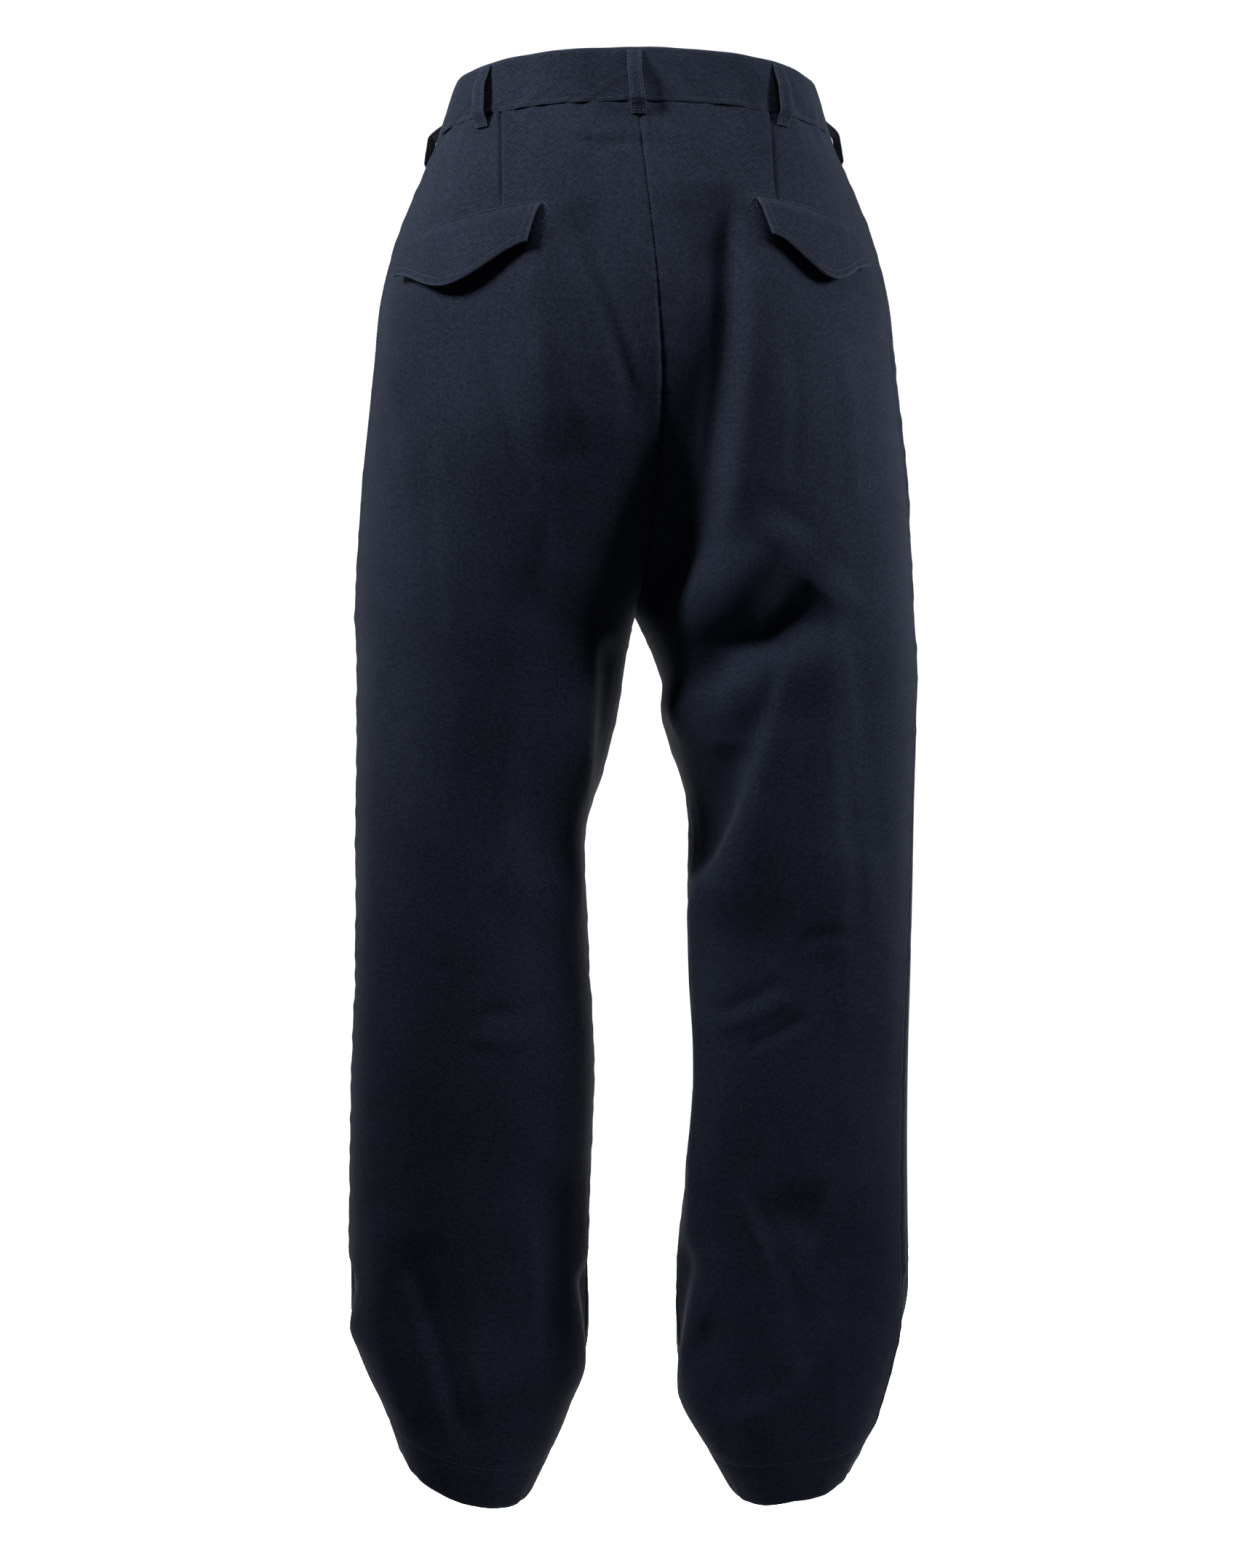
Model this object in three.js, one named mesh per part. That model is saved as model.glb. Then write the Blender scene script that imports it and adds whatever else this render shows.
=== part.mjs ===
// Officer trousers in heavy cotton twill, in the hollow form they keep while worn.
// Millimetres, +Z up. The back faces -Y, the front +Y, and +X is the wearer's right.
// The origin is the middle of the waist, level with the waistband's top edge at the sides.
// Each panel is a thin wall over one shared skin: a stack of half-ovals for either leg, cut off at the
// centre seam above the crotch, on which soft ridges and troughs are laid.
import * as THREE from 'three';

// Driving dimensions
const CLOTH_WALL = 1.6;
const BAND_WALL = 3;
const BAND_HEIGHT = 41;
const BAND_PROUD = 0.8;
const SEAM_GAP = 0.3;
const LAID_GAP = 0.65; // below a piece laid on a panel
const TAB_GAP = 0.5; // between the waistband's two ends where they overlap
const CROTCH_LEVEL = -394;
const HEM_DEPTH = 32;
const OVAL_POWER = 2.15;
const NORMAL_STEP = 3;
const HIP_SEAM_TURN = 13; // degrees by which the side seam lies behind the widest point
const SEAM_TURN_LEVELS = [-900, -300]; // the turn is an ankle's below the first, and the hip's above the second
const BACK_RISE = 15; // how far the waist stands above its sides at a depth of WAIST_DEPTH behind them
const WAIST_DEPTH = 115;
const RISE_ENDS = -260;
const BREAK_LEVEL = -850; // below this the hem tilts up over the foot
const LIFT_POWER = 1.3; // how late, from back to front, the hem lifts

// Grid of each leg panel
const COLUMNS = 16;
const ROW_BANDS = [
  // to: level where the band of rows ends, rows: its rows, ease: above 1 crowds them at its end
  { to: -330, rows: 14, ease: 1 },
  { to: CROTCH_LEVEL, rows: 6, ease: 1.6 },
  { to: -470, rows: 4, ease: 1 },
  { to: BREAK_LEVEL, rows: 14, ease: 1 },
];
const BREAK_ROWS = 8;
const HEM_ROWS = 2;

// Sections of the legs, in distances from the midline (outer, inner) and along Y (back, middle, front).
// A negative inner edge lies past the midline, where the centre seam cuts the oval off.
const SECTION_COLUMNS = ['level', 'outer', 'inner', 'back', 'middle', 'front'];
const HIP_SECTIONS = [
  [0, 136, -136, -108, 0, 102],
  [-41, 149, -149, -117, 0, 110],
  [-72, 162, -152, -130, 0, 117],
  [-116, 180, -149, -143, 0, 123],
  [-160, 191, -138, -151, 0, 127],
  [-204, 196, -118, -152, 0, 128],
  [-248, 200.5, -92, -148, 0, 128],
  [-292, 205, -56, -142, 0, 127],
  [-336, 208, -28, -135, 0, 125],
  [-370, 210, -10, -129, 1, 122],
  [CROTCH_LEVEL, 211, 0, -125, 3, 119],
];
const LEFT_SECTIONS = [
  ...HIP_SECTIONS,
  [-424, 210, 6, -121, 8, 116],
  [-468, 210, 13, -115, 10, 111],
  [-512, 210, 24, -108, 8, 105],
  [-556, 210.5, 37, -103, 4, 99],
  [-620, 210, 36, -96, 0, 91],
  [-688, 211.5, 32.5, -90, 0, 85],
  [-740, 213.5, 30.5, -85, 0, 82],
  [-820, 215, 33.5, -77, 2, 79],
  [-880, 216, 35, -73, 4, 80],
  [-915, 217.5, 33, -72, 8, 86],
  [-945, 218.5, 32.5, -74, 12, 97],
  [-965, 212, 35, -76, 14, 104],
  [-990, 203, 46, -77, 14, 102],
  [-1010, 194, 54, -77, 14, 103],
  [-1052, 178, 75, -76, 14, 106],
];
const RIGHT_SECTIONS = [
  ...HIP_SECTIONS,
  [-424, 213, 14, -123, 2, 113],
  [-446, 213.5, 21, -120, 0, 109],
  [-468, 212.5, 20.5, -117, -2, 105],
  [-490, 212, 26, -115, -4, 101],
  [-534, 210.5, 39.5, -110, -6, 93],
  [-600, 209, 40.5, -105, -10, 82],
  [-666, 207, 42, -103, -16, 71],
  [-720, 205, 45, -102, -22, 62],
  [-776, 204, 43, -102, -26, 53],
  [-820, 204, 38.5, -103, -28, 49],
  [-864, 204.5, 33, -105, -29, 48],
  [-905, 206, 30.5, -108, -27, 52],
  [-932, 203, 29.5, -111, -25, 60],
  [-958, 197, 29, -113, -24, 66],
  [-984, 190, 33, -115, -24, 64],
  [-1010, 181, 48, -117, -24, 65],
  [-1042, 162, 68, -118, -24, 67],
];

const LEGS = {
  left: {
    side: -1, sections: LEFT_SECTIONS, hem: -1052, ankleSeamTurn: 4,
    outerTilt: 18, innerTilt: -13, frontLift: 46,
  },
  right: {
    side: 1, sections: RIGHT_SECTIONS, hem: -1042, ankleSeamTurn: 24,
    outerTilt: 3, innerTilt: -12, frontLift: 46,
  },
};

// Where the pull of the seat draws the back's centre seam to the right of the midline
const SEAT_DRAW = [
  // [level, shift]
  [-20, 0], [-77, 6], [-118, 11], [-175, 17], [-240, 20], [-320, 14], [-394, 3], [-430, 0],
];
const DRAW_REACH = 90;
const DRAW_FACE = [-60, 20]; // the depths between which the pull fades out towards the front

// Soft ridges (out above 0) and troughs. A path holds [x, z] on a back or front face and [y, z] on an
// outer or inner one. Its widths are those on its two sides: for a path that runs down, the side of low x
// or y and then the other, and for one that runs towards high x, below and then above.
const FOLD_COLUMNS = ['leg', 'face', 'out', 'widths', 'path'];
const FOLDS = [
  // the hollow beside the centre seam, with the steep ridge that ends it
  ['both', 'back', -15, [34, 18], [[66, -85], [64, -190], [44, -300], [22, -400]]],
  ['right', 'back', 5, [18, 34], [[92, -80], [93, -170], [90, -270], [76, -350]]],
  // drag lines from the centre seam up towards the left pocket
  ['left', 'back', -6, [18, 18], [[-48, -100], [-16, -180], [12, -272]]],
  ['left', 'back', 4, [24, 18], [[-70, -100], [-62, -180], [-40, -290]]],
  ['left', 'back', -5, [30, 26], [[-52, -360], [-62, -480], [-66, -600]]],
  // the left leg's inner hanging edge
  ['left', 'back', 6, [34, 14], [[-38, -400], [-38, -470], [-37, -560], [-42, -640]]],
  ['left', 'back', -5, [12, 16], [[-16, -410], [-18, -470], [-24, -540]]],
  // the pouch and the deep trough below the right seat
  ['right', 'back', 8, [20, 24], [[30, -378], [62, -380], [92, -362], [116, -330]]],
  ['right', 'back', -13, [20, 20], [[38, -436], [68, -424], [100, -408], [130, -376]]],
  ['right', 'back', 5, [18, 26], [[22, -480], [40, -472], [70, -464], [104, -452]]],
  // the right leg's long edge, from mid-thigh round to the inner calf
  ['right', 'back', 9, [16, 36], [[92, -480], [83, -545], [60, -592], [46, -640], [50, -705],
    [54, -757], [42, -817], [36, -860]]],
  ['right', 'back', -8, [16, 18], [[66, -490], [62, -540], [44, -592]]],
  ['right', 'back', -5, [26, 24], [[92, -600], [84, -680], [88, -760], [84, -840]]],
  ['right', 'back', 4, [16, 18], [[140, -400], [146, -520], [138, -660]]],
  ['right', 'back', -5, [18, 20], [[166, -390], [164, -480], [160, -580]]],
  ['right', 'back', -6, [22, 22], [[86, -846], [112, -838], [140, -842]]],
  ['right', 'back', -6, [20, 22], [[42, -925], [66, -940], [86, -980]]],
  // long soft hollows down the left calf, and the folds into its hem
  ['left', 'back', -6, [20, 20], [[-56, -800], [-54, -880], [-58, -950]]],
  ['left', 'back', 5, [16, 16], [[-186, -830], [-180, -930], [-156, -1010]]],
  ['left', 'back', -5, [16, 16], [[-160, -850], [-148, -940], [-126, -1020]]],
  // the front: hollows from the crotch to the hips, and a crease's soft edge down each leg
  ['left', 'front', -7, [16, 20], [[-12, -360], [-52, -310], [-104, -270], [-146, -236]]],
  ['right', 'front', -7, [20, 16], [[10, -350], [44, -296], [92, -252], [138, -222]]],
  ['left', 'front', 6, [16, 22], [[-22, -400], [-62, -356], [-112, -318], [-156, -296]]],
  ['right', 'front', 6, [22, 16], [[22, -392], [64, -342], [110, -300], [150, -276]]],
  ['left', 'front', 7, [24, 20], [[-104, -300], [-114, -470], [-122, -640], [-124, -820]]],
  ['right', 'front', 7, [20, 24], [[104, -290], [116, -460], [124, -640], [122, -810]]],
  ['left', 'front', -7, [22, 18], [[-62, -430], [-72, -540], [-70, -690]]],
  ['right', 'front', -7, [18, 22], [[66, -420], [80, -520], [78, -640]]],
  ['left', 'front', -5, [20, 20], [[-168, -420], [-170, -560], [-166, -700]]],
  ['right', 'front', -5, [20, 20], [[168, -440], [166, -560], [162, -690]]],
  // the breaks over the feet
  ['left', 'front', -7, [14, 14], [[-50, -868], [-90, -882], [-140, -880], [-196, -862]]],
  ['left', 'front', 7, [14, 14], [[-46, -900], [-92, -918], [-142, -916], [-200, -894]]],
  ['left', 'front', -7, [12, 12], [[-62, -936], [-104, -948], [-150, -944], [-184, -930]]],
  ['right', 'front', -7, [14, 14], [[48, -852], [92, -868], [142, -862], [190, -846]]],
  ['right', 'front', 7, [14, 14], [[44, -884], [92, -902], [140, -898], [192, -880]]],
  ['right', 'front', -7, [12, 12], [[58, -922], [98, -934], [142, -932], [176, -920]]],
  // the sides
  ['left', 'outer', -5, [16, 18], [[34, -190], [26, -330], [30, -470]]],
  ['right', 'outer', -5, [16, 18], [[40, -200], [30, -320], [24, -450]]],
  ['left', 'outer', -6, [14, 16], [[-14, -880], [6, -940], [30, -990]]],
  ['right', 'outer', -5, [16, 14], [[-52, -880], [-34, -930], [-8, -984]]],
  ['left', 'inner', -6, [16, 16], [[-20, -880], [10, -930], [40, -985]]],
  ['right', 'inner', -6, [16, 16], [[-64, -860], [-40, -920], [-10, -975]]],
];
const FACES = { back: [0, -1], front: [0, 1], outer: [1, 0], inner: [-1, 0] };
const PATH_STEPS = 6; // straight pieces for each stretch of a fold's path
const FOLD_REACH = 2.6; // widths from its path past which a fold is nothing
const FOLD_FADE = 0.22; // the share of its path over which a fold dies out at either end
const FACING = 0.45; // how squarely the skin faces a fold's way where the fold has its full height
const SEAM_FADE = 26; // the distance from the centre seam within which one leg's folds fade out
const CROTCH_FADE = 50; // and the distance below the crotch over which they come back

// Pocket flaps, measured along the hip from the back's centre seam
const FLAP = {
  sideDrop: 28, pointDrop: 48, pointAt: 0.45, slant: 0.25, wall: 2.4, turn: 2.4, turnDepth: 8, hangPower: 1.2,
  columns: 16, rows: 7,
};
const FLAPS = {
  left: { start: 73, width: 116, innerLevel: -115, outerLevel: -127, standOff: 7, outerLift: 9 },
  right: { start: 84, width: 99, innerLevel: -110, outerLevel: -121, standOff: 7, outerLift: 5 },
};
const WELT = { top: 7, bottom: 15, wall: 1.2, inset: 0.04, columns: 12 };

// Belt loops. place is the distance along the waist from the centre back or the centre front, and top the
// level at which the loop is sewn on.
const LOOP = { width: 11, wall: 1.8, length: 49, steps: 12, upperBend: 0.44, lowerBend: 0.22 };
const LOOPS = [
  { name: 'belt_loop_centre_back', leg: 'right', from: 'back', place: 0, top: -3, bulge: 6.5 },
  { name: 'belt_loop_back_left', leg: 'left', from: 'back', place: 119, top: -3, bulge: 5.5 },
  { name: 'belt_loop_back_right', leg: 'right', from: 'back', place: 113, top: -3, bulge: 6 },
  { name: 'belt_loop_side_left', leg: 'left', from: 'front', place: 170, top: -10, bulge: 16 },
  { name: 'belt_loop_side_right', leg: 'right', from: 'front', place: 173, top: -8, bulge: 14 },
  { name: 'belt_loop_front_left', leg: 'left', from: 'front', place: 92, top: -3, bulge: 5.5 },
  { name: 'belt_loop_front_right', leg: 'right', from: 'front', place: 92, top: -3, bulge: 5.5 },
];

// Fly and waist closure, in distances from the centre front, above 0 on the wearer's right
const TAB = { end: 40, riseStart: -32, riseEnd: -9, underlap: -6 };
const FLY = { inner: 5, outer: -37, bottom: -214, curve: 44, lastPart: 0.98, wall: 1.6, columns: 7, rows: 10 };
const BUTTON = { place: 24, level: -20.5, radius: 9, height: 3.4, dish: 0.9, rim: 1.8, edge: 0.7, segments: 24 };

const CLOTH_COLOUR = 0x1c2130;
const BUTTON_COLOUR = 0x1a1a1d;
const cloth = () => new THREE.MeshStandardMaterial({ color: CLOTH_COLOUR, roughness: 0.92, metalness: 0 });

const smooth = (low, high, x) => THREE.MathUtils.smoothstep(x, low, high);
const radians = THREE.MathUtils.degToRad;

// A smooth curve through rows of [key, value, ...] with falling keys; it returns column i at a key.
function through(rows, key, i) {
  const last = rows.length - 1;
  const at = (k) => rows[Math.min(Math.max(k, 0), last)];
  let k = 0;
  while (k < last - 1 && key < rows[k + 1][0]) k += 1;
  const [before, a, b, beyond] = [at(k - 1), at(k), at(k + 1), at(k + 2)];
  const span = b[0] - a[0];
  const slopeA = (b[i] - before[i]) / (b[0] - before[0]);
  const slopeB = (beyond[i] - a[i]) / (beyond[0] - a[0]);
  const t = THREE.MathUtils.clamp((key - a[0]) / span, 0, 1);
  const t2 = t * t;
  const t3 = t2 * t;
  return (2 * t3 - 3 * t2 + 1) * a[i] + (t3 - 2 * t2 + t) * span * slopeA
    + (3 * t2 - 2 * t3) * b[i] + (t3 - t2) * span * slopeB;
}

// The oval of a leg at a level, as a fine line from its back inner end round its outer side to its front one
const OVAL_STEPS = 160;
const SPARE_STEPS = 16;
const CROWDING = { most: 5, least: 1, from: 0.04, to: 0.22 };
const ovals = new Map();
function oval(leg, level) {
  const key = `${leg.side} ${level.toFixed(4)}`;
  if (ovals.has(key)) return ovals.get(key);
  const s = Object.fromEntries(SECTION_COLUMNS.map((name, i) => [name, through(leg.sections, level, i)]));
  const centre = (s.outer + s.inner) / 2;
  const half = (s.outer - s.inner) / 2;
  const cut = s.inner < 0 ? Math.acos((Math.max(centre, 0) / half) ** (OVAL_POWER / 2)) : 0;
  // angle 0 is the outermost point, and the back's are below 0
  const at = (angle) => {
    const [c, n] = [Math.cos(angle), Math.sin(angle)];
    const reach = n < 0 ? s.middle - s.back : s.front - s.middle;
    const x = centre + half * Math.sign(c) * Math.abs(c) ** (2 / OVAL_POWER);
    return new THREE.Vector2(x, s.middle + reach * Math.sign(n) * Math.abs(n) ** (2 / OVAL_POWER));
  };
  const span = Math.PI - cut;
  const points = Array.from({ length: OVAL_STEPS + 1 }, (_, i) => at(span * (2 * i / OVAL_STEPS - 1)));
  const lengths = [0];
  for (let i = 1; i < points.length; i += 1) {
    lengths.push(lengths[i - 1] + points[i].distanceTo(points[i - 1]));
  }
  const hipTurn = smooth(...SEAM_TURN_LEVELS, level);
  const turn = radians(THREE.MathUtils.lerp(leg.ankleSeamTurn, HIP_SEAM_TURN, hipTurn));
  const made = { points, lengths, total: lengths[OVAL_STEPS], closed: s.inner >= 0 };
  made.seam = lengthAt(made, ((span - turn) / (2 * span)) * OVAL_STEPS);
  // the arcs that the centre seam cuts away, behind and in front
  const spare = (sign) => {
    let sum = 0;
    for (let i = 0; i < SPARE_STEPS; i += 1) {
      const [a, b] = [i, i + 1].map((k) => at(sign * (span + cut * (k / SPARE_STEPS))));
      sum += a.distanceTo(b);
    }
    return sum;
  };
  made.spare = { back: spare(-1), front: spare(1) };
  ovals.set(key, made);
  return made;
}
function lengthAt(line, index) {
  const i = Math.min(Math.floor(index), OVAL_STEPS - 1);
  return THREE.MathUtils.lerp(line.lengths[i], line.lengths[i + 1], index - i);
}

// The point at a distance along an oval, and the level outward direction there
function onOval(line, distance) {
  const d = THREE.MathUtils.clamp(distance, 0, line.total);
  let [low, high] = [0, OVAL_STEPS];
  while (high - low > 1) {
    const mid = (low + high) >> 1;
    if (line.lengths[mid] <= d) low = mid;
    else high = mid;
  }
  const t = (d - line.lengths[low]) / Math.max(line.lengths[high] - line.lengths[low], 1e-9);
  const point = line.points[low].clone().lerp(line.points[high], t);
  const index = (i) => (line.closed
    ? THREE.MathUtils.euclideanModulo(i, OVAL_STEPS)
    : THREE.MathUtils.clamp(i, 0, OVAL_STEPS));
  const back = line.points[index(low - 2)];
  const on = line.points[index(high + 2)];
  const out = new THREE.Vector2(on.y - back.y, back.x - on.x).normalize();
  return { point, out };
}

// The tilt of the waist, the pull of the seat and the lift of the hem, which move the whole skin
function drape(leg, x, y, level) {
  const s = SECTION_COLUMNS.map((name, i) => through(leg.sections, level, i));
  const [, outer, inner, back, , front] = s;
  const rise = BACK_RISE * smooth(RISE_ENDS, 0, level) * (-y / WAIST_DEPTH);
  const drawn = through(SEAT_DRAW, THREE.MathUtils.clamp(level, -430, -20), 1);
  const draw = drawn * Math.exp(-((x / DRAW_REACH) ** 2)) * (1 - smooth(...DRAW_FACE, y));
  const along = THREE.MathUtils.clamp((y - back) / (front - back), 0, 1);
  const across = (Math.abs(x) - (outer + inner) / 2) / ((outer - inner) / 2);
  const tilt = (across > 0 ? leg.outerTilt : -leg.innerTilt) * across;
  const lift = (1 - smooth(leg.hem, BREAK_LEVEL, level)) * (leg.frontLift * along ** LIFT_POWER + tilt);
  return new THREE.Vector3(x + draw, y, level + rise + lift);
}

// Fold paths as short straight pieces, with the box outside which each does nothing
const folds = FOLDS.map((row) => {
  const fold = Object.fromEntries(FOLD_COLUMNS.map((name, i) => [name, row[i]]));
  const curve = new THREE.SplineCurve(fold.path.map(([a, z]) => new THREE.Vector2(a, z)));
  const points = curve.getPoints(PATH_STEPS * (fold.path.length - 1));
  const reach = FOLD_REACH * Math.max(...fold.widths);
  return { ...fold, points, reach, box: new THREE.Box2().setFromPoints(points).expandByScalar(reach) };
});

// How far the folds move the skin out at a draped point with a level outward direction. offSeam fades out
// the folds of one leg alone where it meets the other at the centre seam.
function foldOut(legName, leg, place, out, offSeam) {
  let sum = 0;
  const outward = leg.side;
  for (const fold of folds) {
    if (fold.leg !== 'both' && fold.leg !== legName) continue;
    const [faceX, faceY] = FACES[fold.face];
    const facing = smooth(0, FACING, out.x * faceX * outward + out.y * faceY);
    if (facing === 0) continue;
    const at = new THREE.Vector2(faceX ? place.y : place.x, place.z);
    if (!fold.box.containsPoint(at)) continue;
    let nearest = { distance: Infinity };
    const last = fold.points.length - 1;
    for (let i = 0; i < last; i += 1) {
      const piece = fold.points[i + 1].clone().sub(fold.points[i]);
      const t = THREE.MathUtils.clamp(at.clone().sub(fold.points[i]).dot(piece) / piece.lengthSq(), 0, 1);
      const foot = fold.points[i].clone().addScaledVector(piece, t);
      const distance = foot.distanceTo(at);
      if (distance < nearest.distance) {
        nearest = { distance, share: (i + t) / last, side: piece.cross(at.clone().sub(foot)) < 0 ? 0 : 1 };
      }
    }
    const ends = smooth(0, FOLD_FADE, nearest.share) * smooth(0, FOLD_FADE, 1 - nearest.share);
    const near = Math.exp(-((nearest.distance / fold.widths[nearest.side]) ** 2));
    sum += fold.out * facing * ends * near * (fold.leg === 'both' ? 1 : offSeam);
  }
  return sum;
}

// The skin: a leg's outer surface at a distance along its oval, from the back's inner end, at a level
function skin(legName, distance, level) {
  const leg = LEGS[legName];
  const line = oval(leg, level);
  const { point, out } = onOval(line, distance);
  const flat = drape(leg, point.x * leg.side, point.y, level);
  const belowCrotch = 1 - smooth(CROTCH_LEVEL - CROTCH_FADE, CROTCH_LEVEL, level);
  const offSeam = Math.max(smooth(0, SEAM_FADE, Math.min(distance, line.total - distance)), belowCrotch);
  const moved = foldOut(legName, leg, flat, new THREE.Vector2(out.x * leg.side, out.y), offSeam);
  const x = Math.max(point.x + out.x * moved * offSeam, SEAM_GAP / 2);
  return drape(leg, x * leg.side, point.y + out.y * moved, level);
}
// across runs 0 to 1 over a panel, from its inner edge to the side seam. Near the crotch, where the inner
// edge runs in towards the inseam, only the columns next to it follow it.
function panelDistance(legName, panel, across, level) {
  const line = oval(LEGS[legName], level);
  const innerGap = line.closed ? SEAM_GAP / 2 : 0;
  const spare = line.spare[panel];
  const length = (panel === 'back' ? line.seam : line.total - line.seam) - SEAM_GAP / 2 - innerGap;
  const cutAway = smooth(CROWDING.from, CROWDING.to, spare / (length + spare));
  const crowding = THREE.MathUtils.lerp(CROWDING.most, CROWDING.least, cutAway);
  const fromSeam = (1 - across) * (length + spare) - spare * (1 - across) ** crowding;
  const offset = SEAM_GAP / 2 + fromSeam;
  return panel === 'back' ? line.seam - offset : line.seam + offset;
}

// The skin's outward normal, from two short steps along it. Where the centre seam cuts the oval off, the
// normal never leans away from the seam, so that a wall built inwards from it stays on its own side.
function normal(legName, distance, level) {
  const leg = LEGS[legName];
  const line = oval(leg, level);
  const near = (d) => skin(legName, line.closed
    ? THREE.MathUtils.euclideanModulo(d, line.total)
    : THREE.MathUtils.clamp(d, 0, line.total), level);
  const share = distance / line.total;
  const up = Math.min(level + NORMAL_STEP, 0);
  const down = Math.max(level - NORMAL_STEP, leg.hem);
  const rise = skin(legName, share * oval(leg, up).total, up)
    .sub(skin(legName, share * oval(leg, down).total, down));
  const out = near(distance + NORMAL_STEP).sub(near(distance - NORMAL_STEP)).cross(rise);
  out.multiplyScalar(leg.side);
  if (!line.closed && (distance < SEAM_GAP || distance > line.total - SEAM_GAP)) {
    out.x = leg.side * Math.min(out.x * leg.side, 0);
  }
  return out.normalize();
}
// A point moved off the skin
function off(legName, distance, level, lift) {
  return skin(legName, distance, level).addScaledVector(normal(legName, distance, level), lift);
}

// A closed wall from two grids of points, [row][column], the outer one seen from outside
function wall(outer, inner, turned = false) {
  const rows = outer.length;
  const columns = outer[0].length;
  const positions = [];
  for (const grid of [outer, inner]) {
    for (const row of grid) for (const p of row) positions.push(p.x, p.y, p.z);
  }
  const O = (r, c) => r * columns + c;
  const I = (r, c) => rows * columns + O(r, c);
  const index = [];
  const quad = (a, b, c, d) => index.push(...(turned ? [a, c, b, a, d, c] : [a, b, c, a, c, d]));
  for (let r = 0; r + 1 < rows; r += 1) {
    for (let c = 0; c + 1 < columns; c += 1) {
      quad(O(r, c), O(r + 1, c), O(r + 1, c + 1), O(r, c + 1));
      quad(I(r, c), I(r, c + 1), I(r + 1, c + 1), I(r + 1, c));
    }
    const e = columns - 1;
    quad(O(r, 0), I(r, 0), I(r + 1, 0), O(r + 1, 0));
    quad(O(r, e), O(r + 1, e), I(r + 1, e), I(r, e));
  }
  for (let c = 0; c + 1 < columns; c += 1) {
    const e = rows - 1;
    quad(O(0, c), O(0, c + 1), I(0, c + 1), I(0, c));
    quad(O(e, c), I(e, c), I(e, c + 1), O(e, c + 1));
  }
  const geometry = new THREE.BufferGeometry();
  geometry.setAttribute('position', new THREE.Float32BufferAttribute(positions, 3));
  geometry.setIndex(index);
  geometry.computeVertexNormals();
  return geometry;
}
function mesh(name, geometry, material = cloth()) {
  const made = new THREE.Mesh(geometry, material);
  made.name = name;
  return made;
}
const grid = (rows, columns, make) => Array.from({ length: rows + 1 }, (_, r) => (
  Array.from({ length: columns + 1 }, (__, c) => make(r / rows, c / columns))));

// Levels of a leg panel's rows, from the waist seam to the hem
function panelLevels(leg) {
  const levels = [-BAND_HEIGHT - SEAM_GAP];
  const hemTop = leg.hem + HEM_DEPTH;
  const bands = [...ROW_BANDS, { to: hemTop + CLOTH_WALL, rows: BREAK_ROWS, ease: 1 },
    { to: hemTop, rows: 1, ease: 1 }, { to: leg.hem, rows: HEM_ROWS, ease: 1 }];
  for (const band of bands) {
    const from = levels[levels.length - 1];
    for (let i = 1; i <= band.rows; i += 1) {
      levels.push(THREE.MathUtils.lerp(band.to, from, (1 - i / band.rows) ** band.ease));
    }
  }
  return levels;
}

// One leg panel, back or front, with its hem turned up inside as a second layer
function legPanel(legName, panel) {
  const leg = LEGS[legName];
  const levels = panelLevels(leg);
  const layer = (lift) => levels.map((level) => {
    const layers = level <= leg.hem + HEM_DEPTH + 1e-6 ? 2 : 1;
    return Array.from({ length: COLUMNS + 1 }, (_, c) => {
      const distance = panelDistance(legName, panel, c / COLUMNS, level);
      return off(legName, distance, level, lift * layers);
    });
  });
  const turned = (panel === 'back') !== (legName === 'right');
  return mesh(`${panel}_${legName}`, wall(layer(0), layer(-CLOTH_WALL), turned));
}

// A point of the waistband by its distance from the centre front, below 0 on the wearer's left
function bandPoint(place, level, lift) {
  const legName = place < 0 ? 'left' : 'right';
  const line = oval(LEGS[legName], level);
  return off(legName, line.total - Math.abs(place), level, lift);
}
const bandLength = (legName, level) => oval(LEGS[legName], level).total;
const BAND_GRID = { left: 34, right: 28, rows: 3 };

function waistband(legName) {
  const left = legName === 'left';
  const outerLift = (place) => (left
    ? BAND_PROUD + (BAND_WALL + TAB_GAP) * smooth(TAB.riseStart, TAB.riseEnd, place)
    : BAND_PROUD);
  const layer = (inward) => grid(BAND_GRID.rows, BAND_GRID[legName], (down, along) => {
    const level = -BAND_HEIGHT * down;
    const centreBack = bandLength(legName, level) - SEAM_GAP / 2;
    const place = left
      ? THREE.MathUtils.lerp(-centreBack, TAB.end, along)
      : THREE.MathUtils.lerp(centreBack, TAB.underlap, along);
    return bandPoint(place, level, outerLift(place) - inward);
  });
  return mesh(`waistband_${legName}`, wall(layer(0), layer(BAND_WALL), left));
}

// The fly's lap on the wearer's left, its outer edge curving in to the centre at the bottom
function flyLap() {
  const top = -BAND_HEIGHT - SEAM_GAP;
  const outline = (down) => {
    const level = THREE.MathUtils.lerp(top, FLY.bottom, down);
    const past = THREE.MathUtils.clamp((FLY.bottom + FLY.curve - level) / FLY.curve, 0, FLY.lastPart);
    return { level, outer: FLY.inner + (FLY.outer - FLY.inner) * Math.sqrt(1 - past * past) };
  };
  const layer = (lift) => grid(FLY.rows, FLY.columns, (down, across) => {
    const { level, outer } = outline(down);
    return bandPoint(THREE.MathUtils.lerp(outer, FLY.inner, across), level, lift);
  });
  return mesh('fly_lap', wall(layer(LAID_GAP + FLY.wall), layer(LAID_GAP), true));
}

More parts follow.
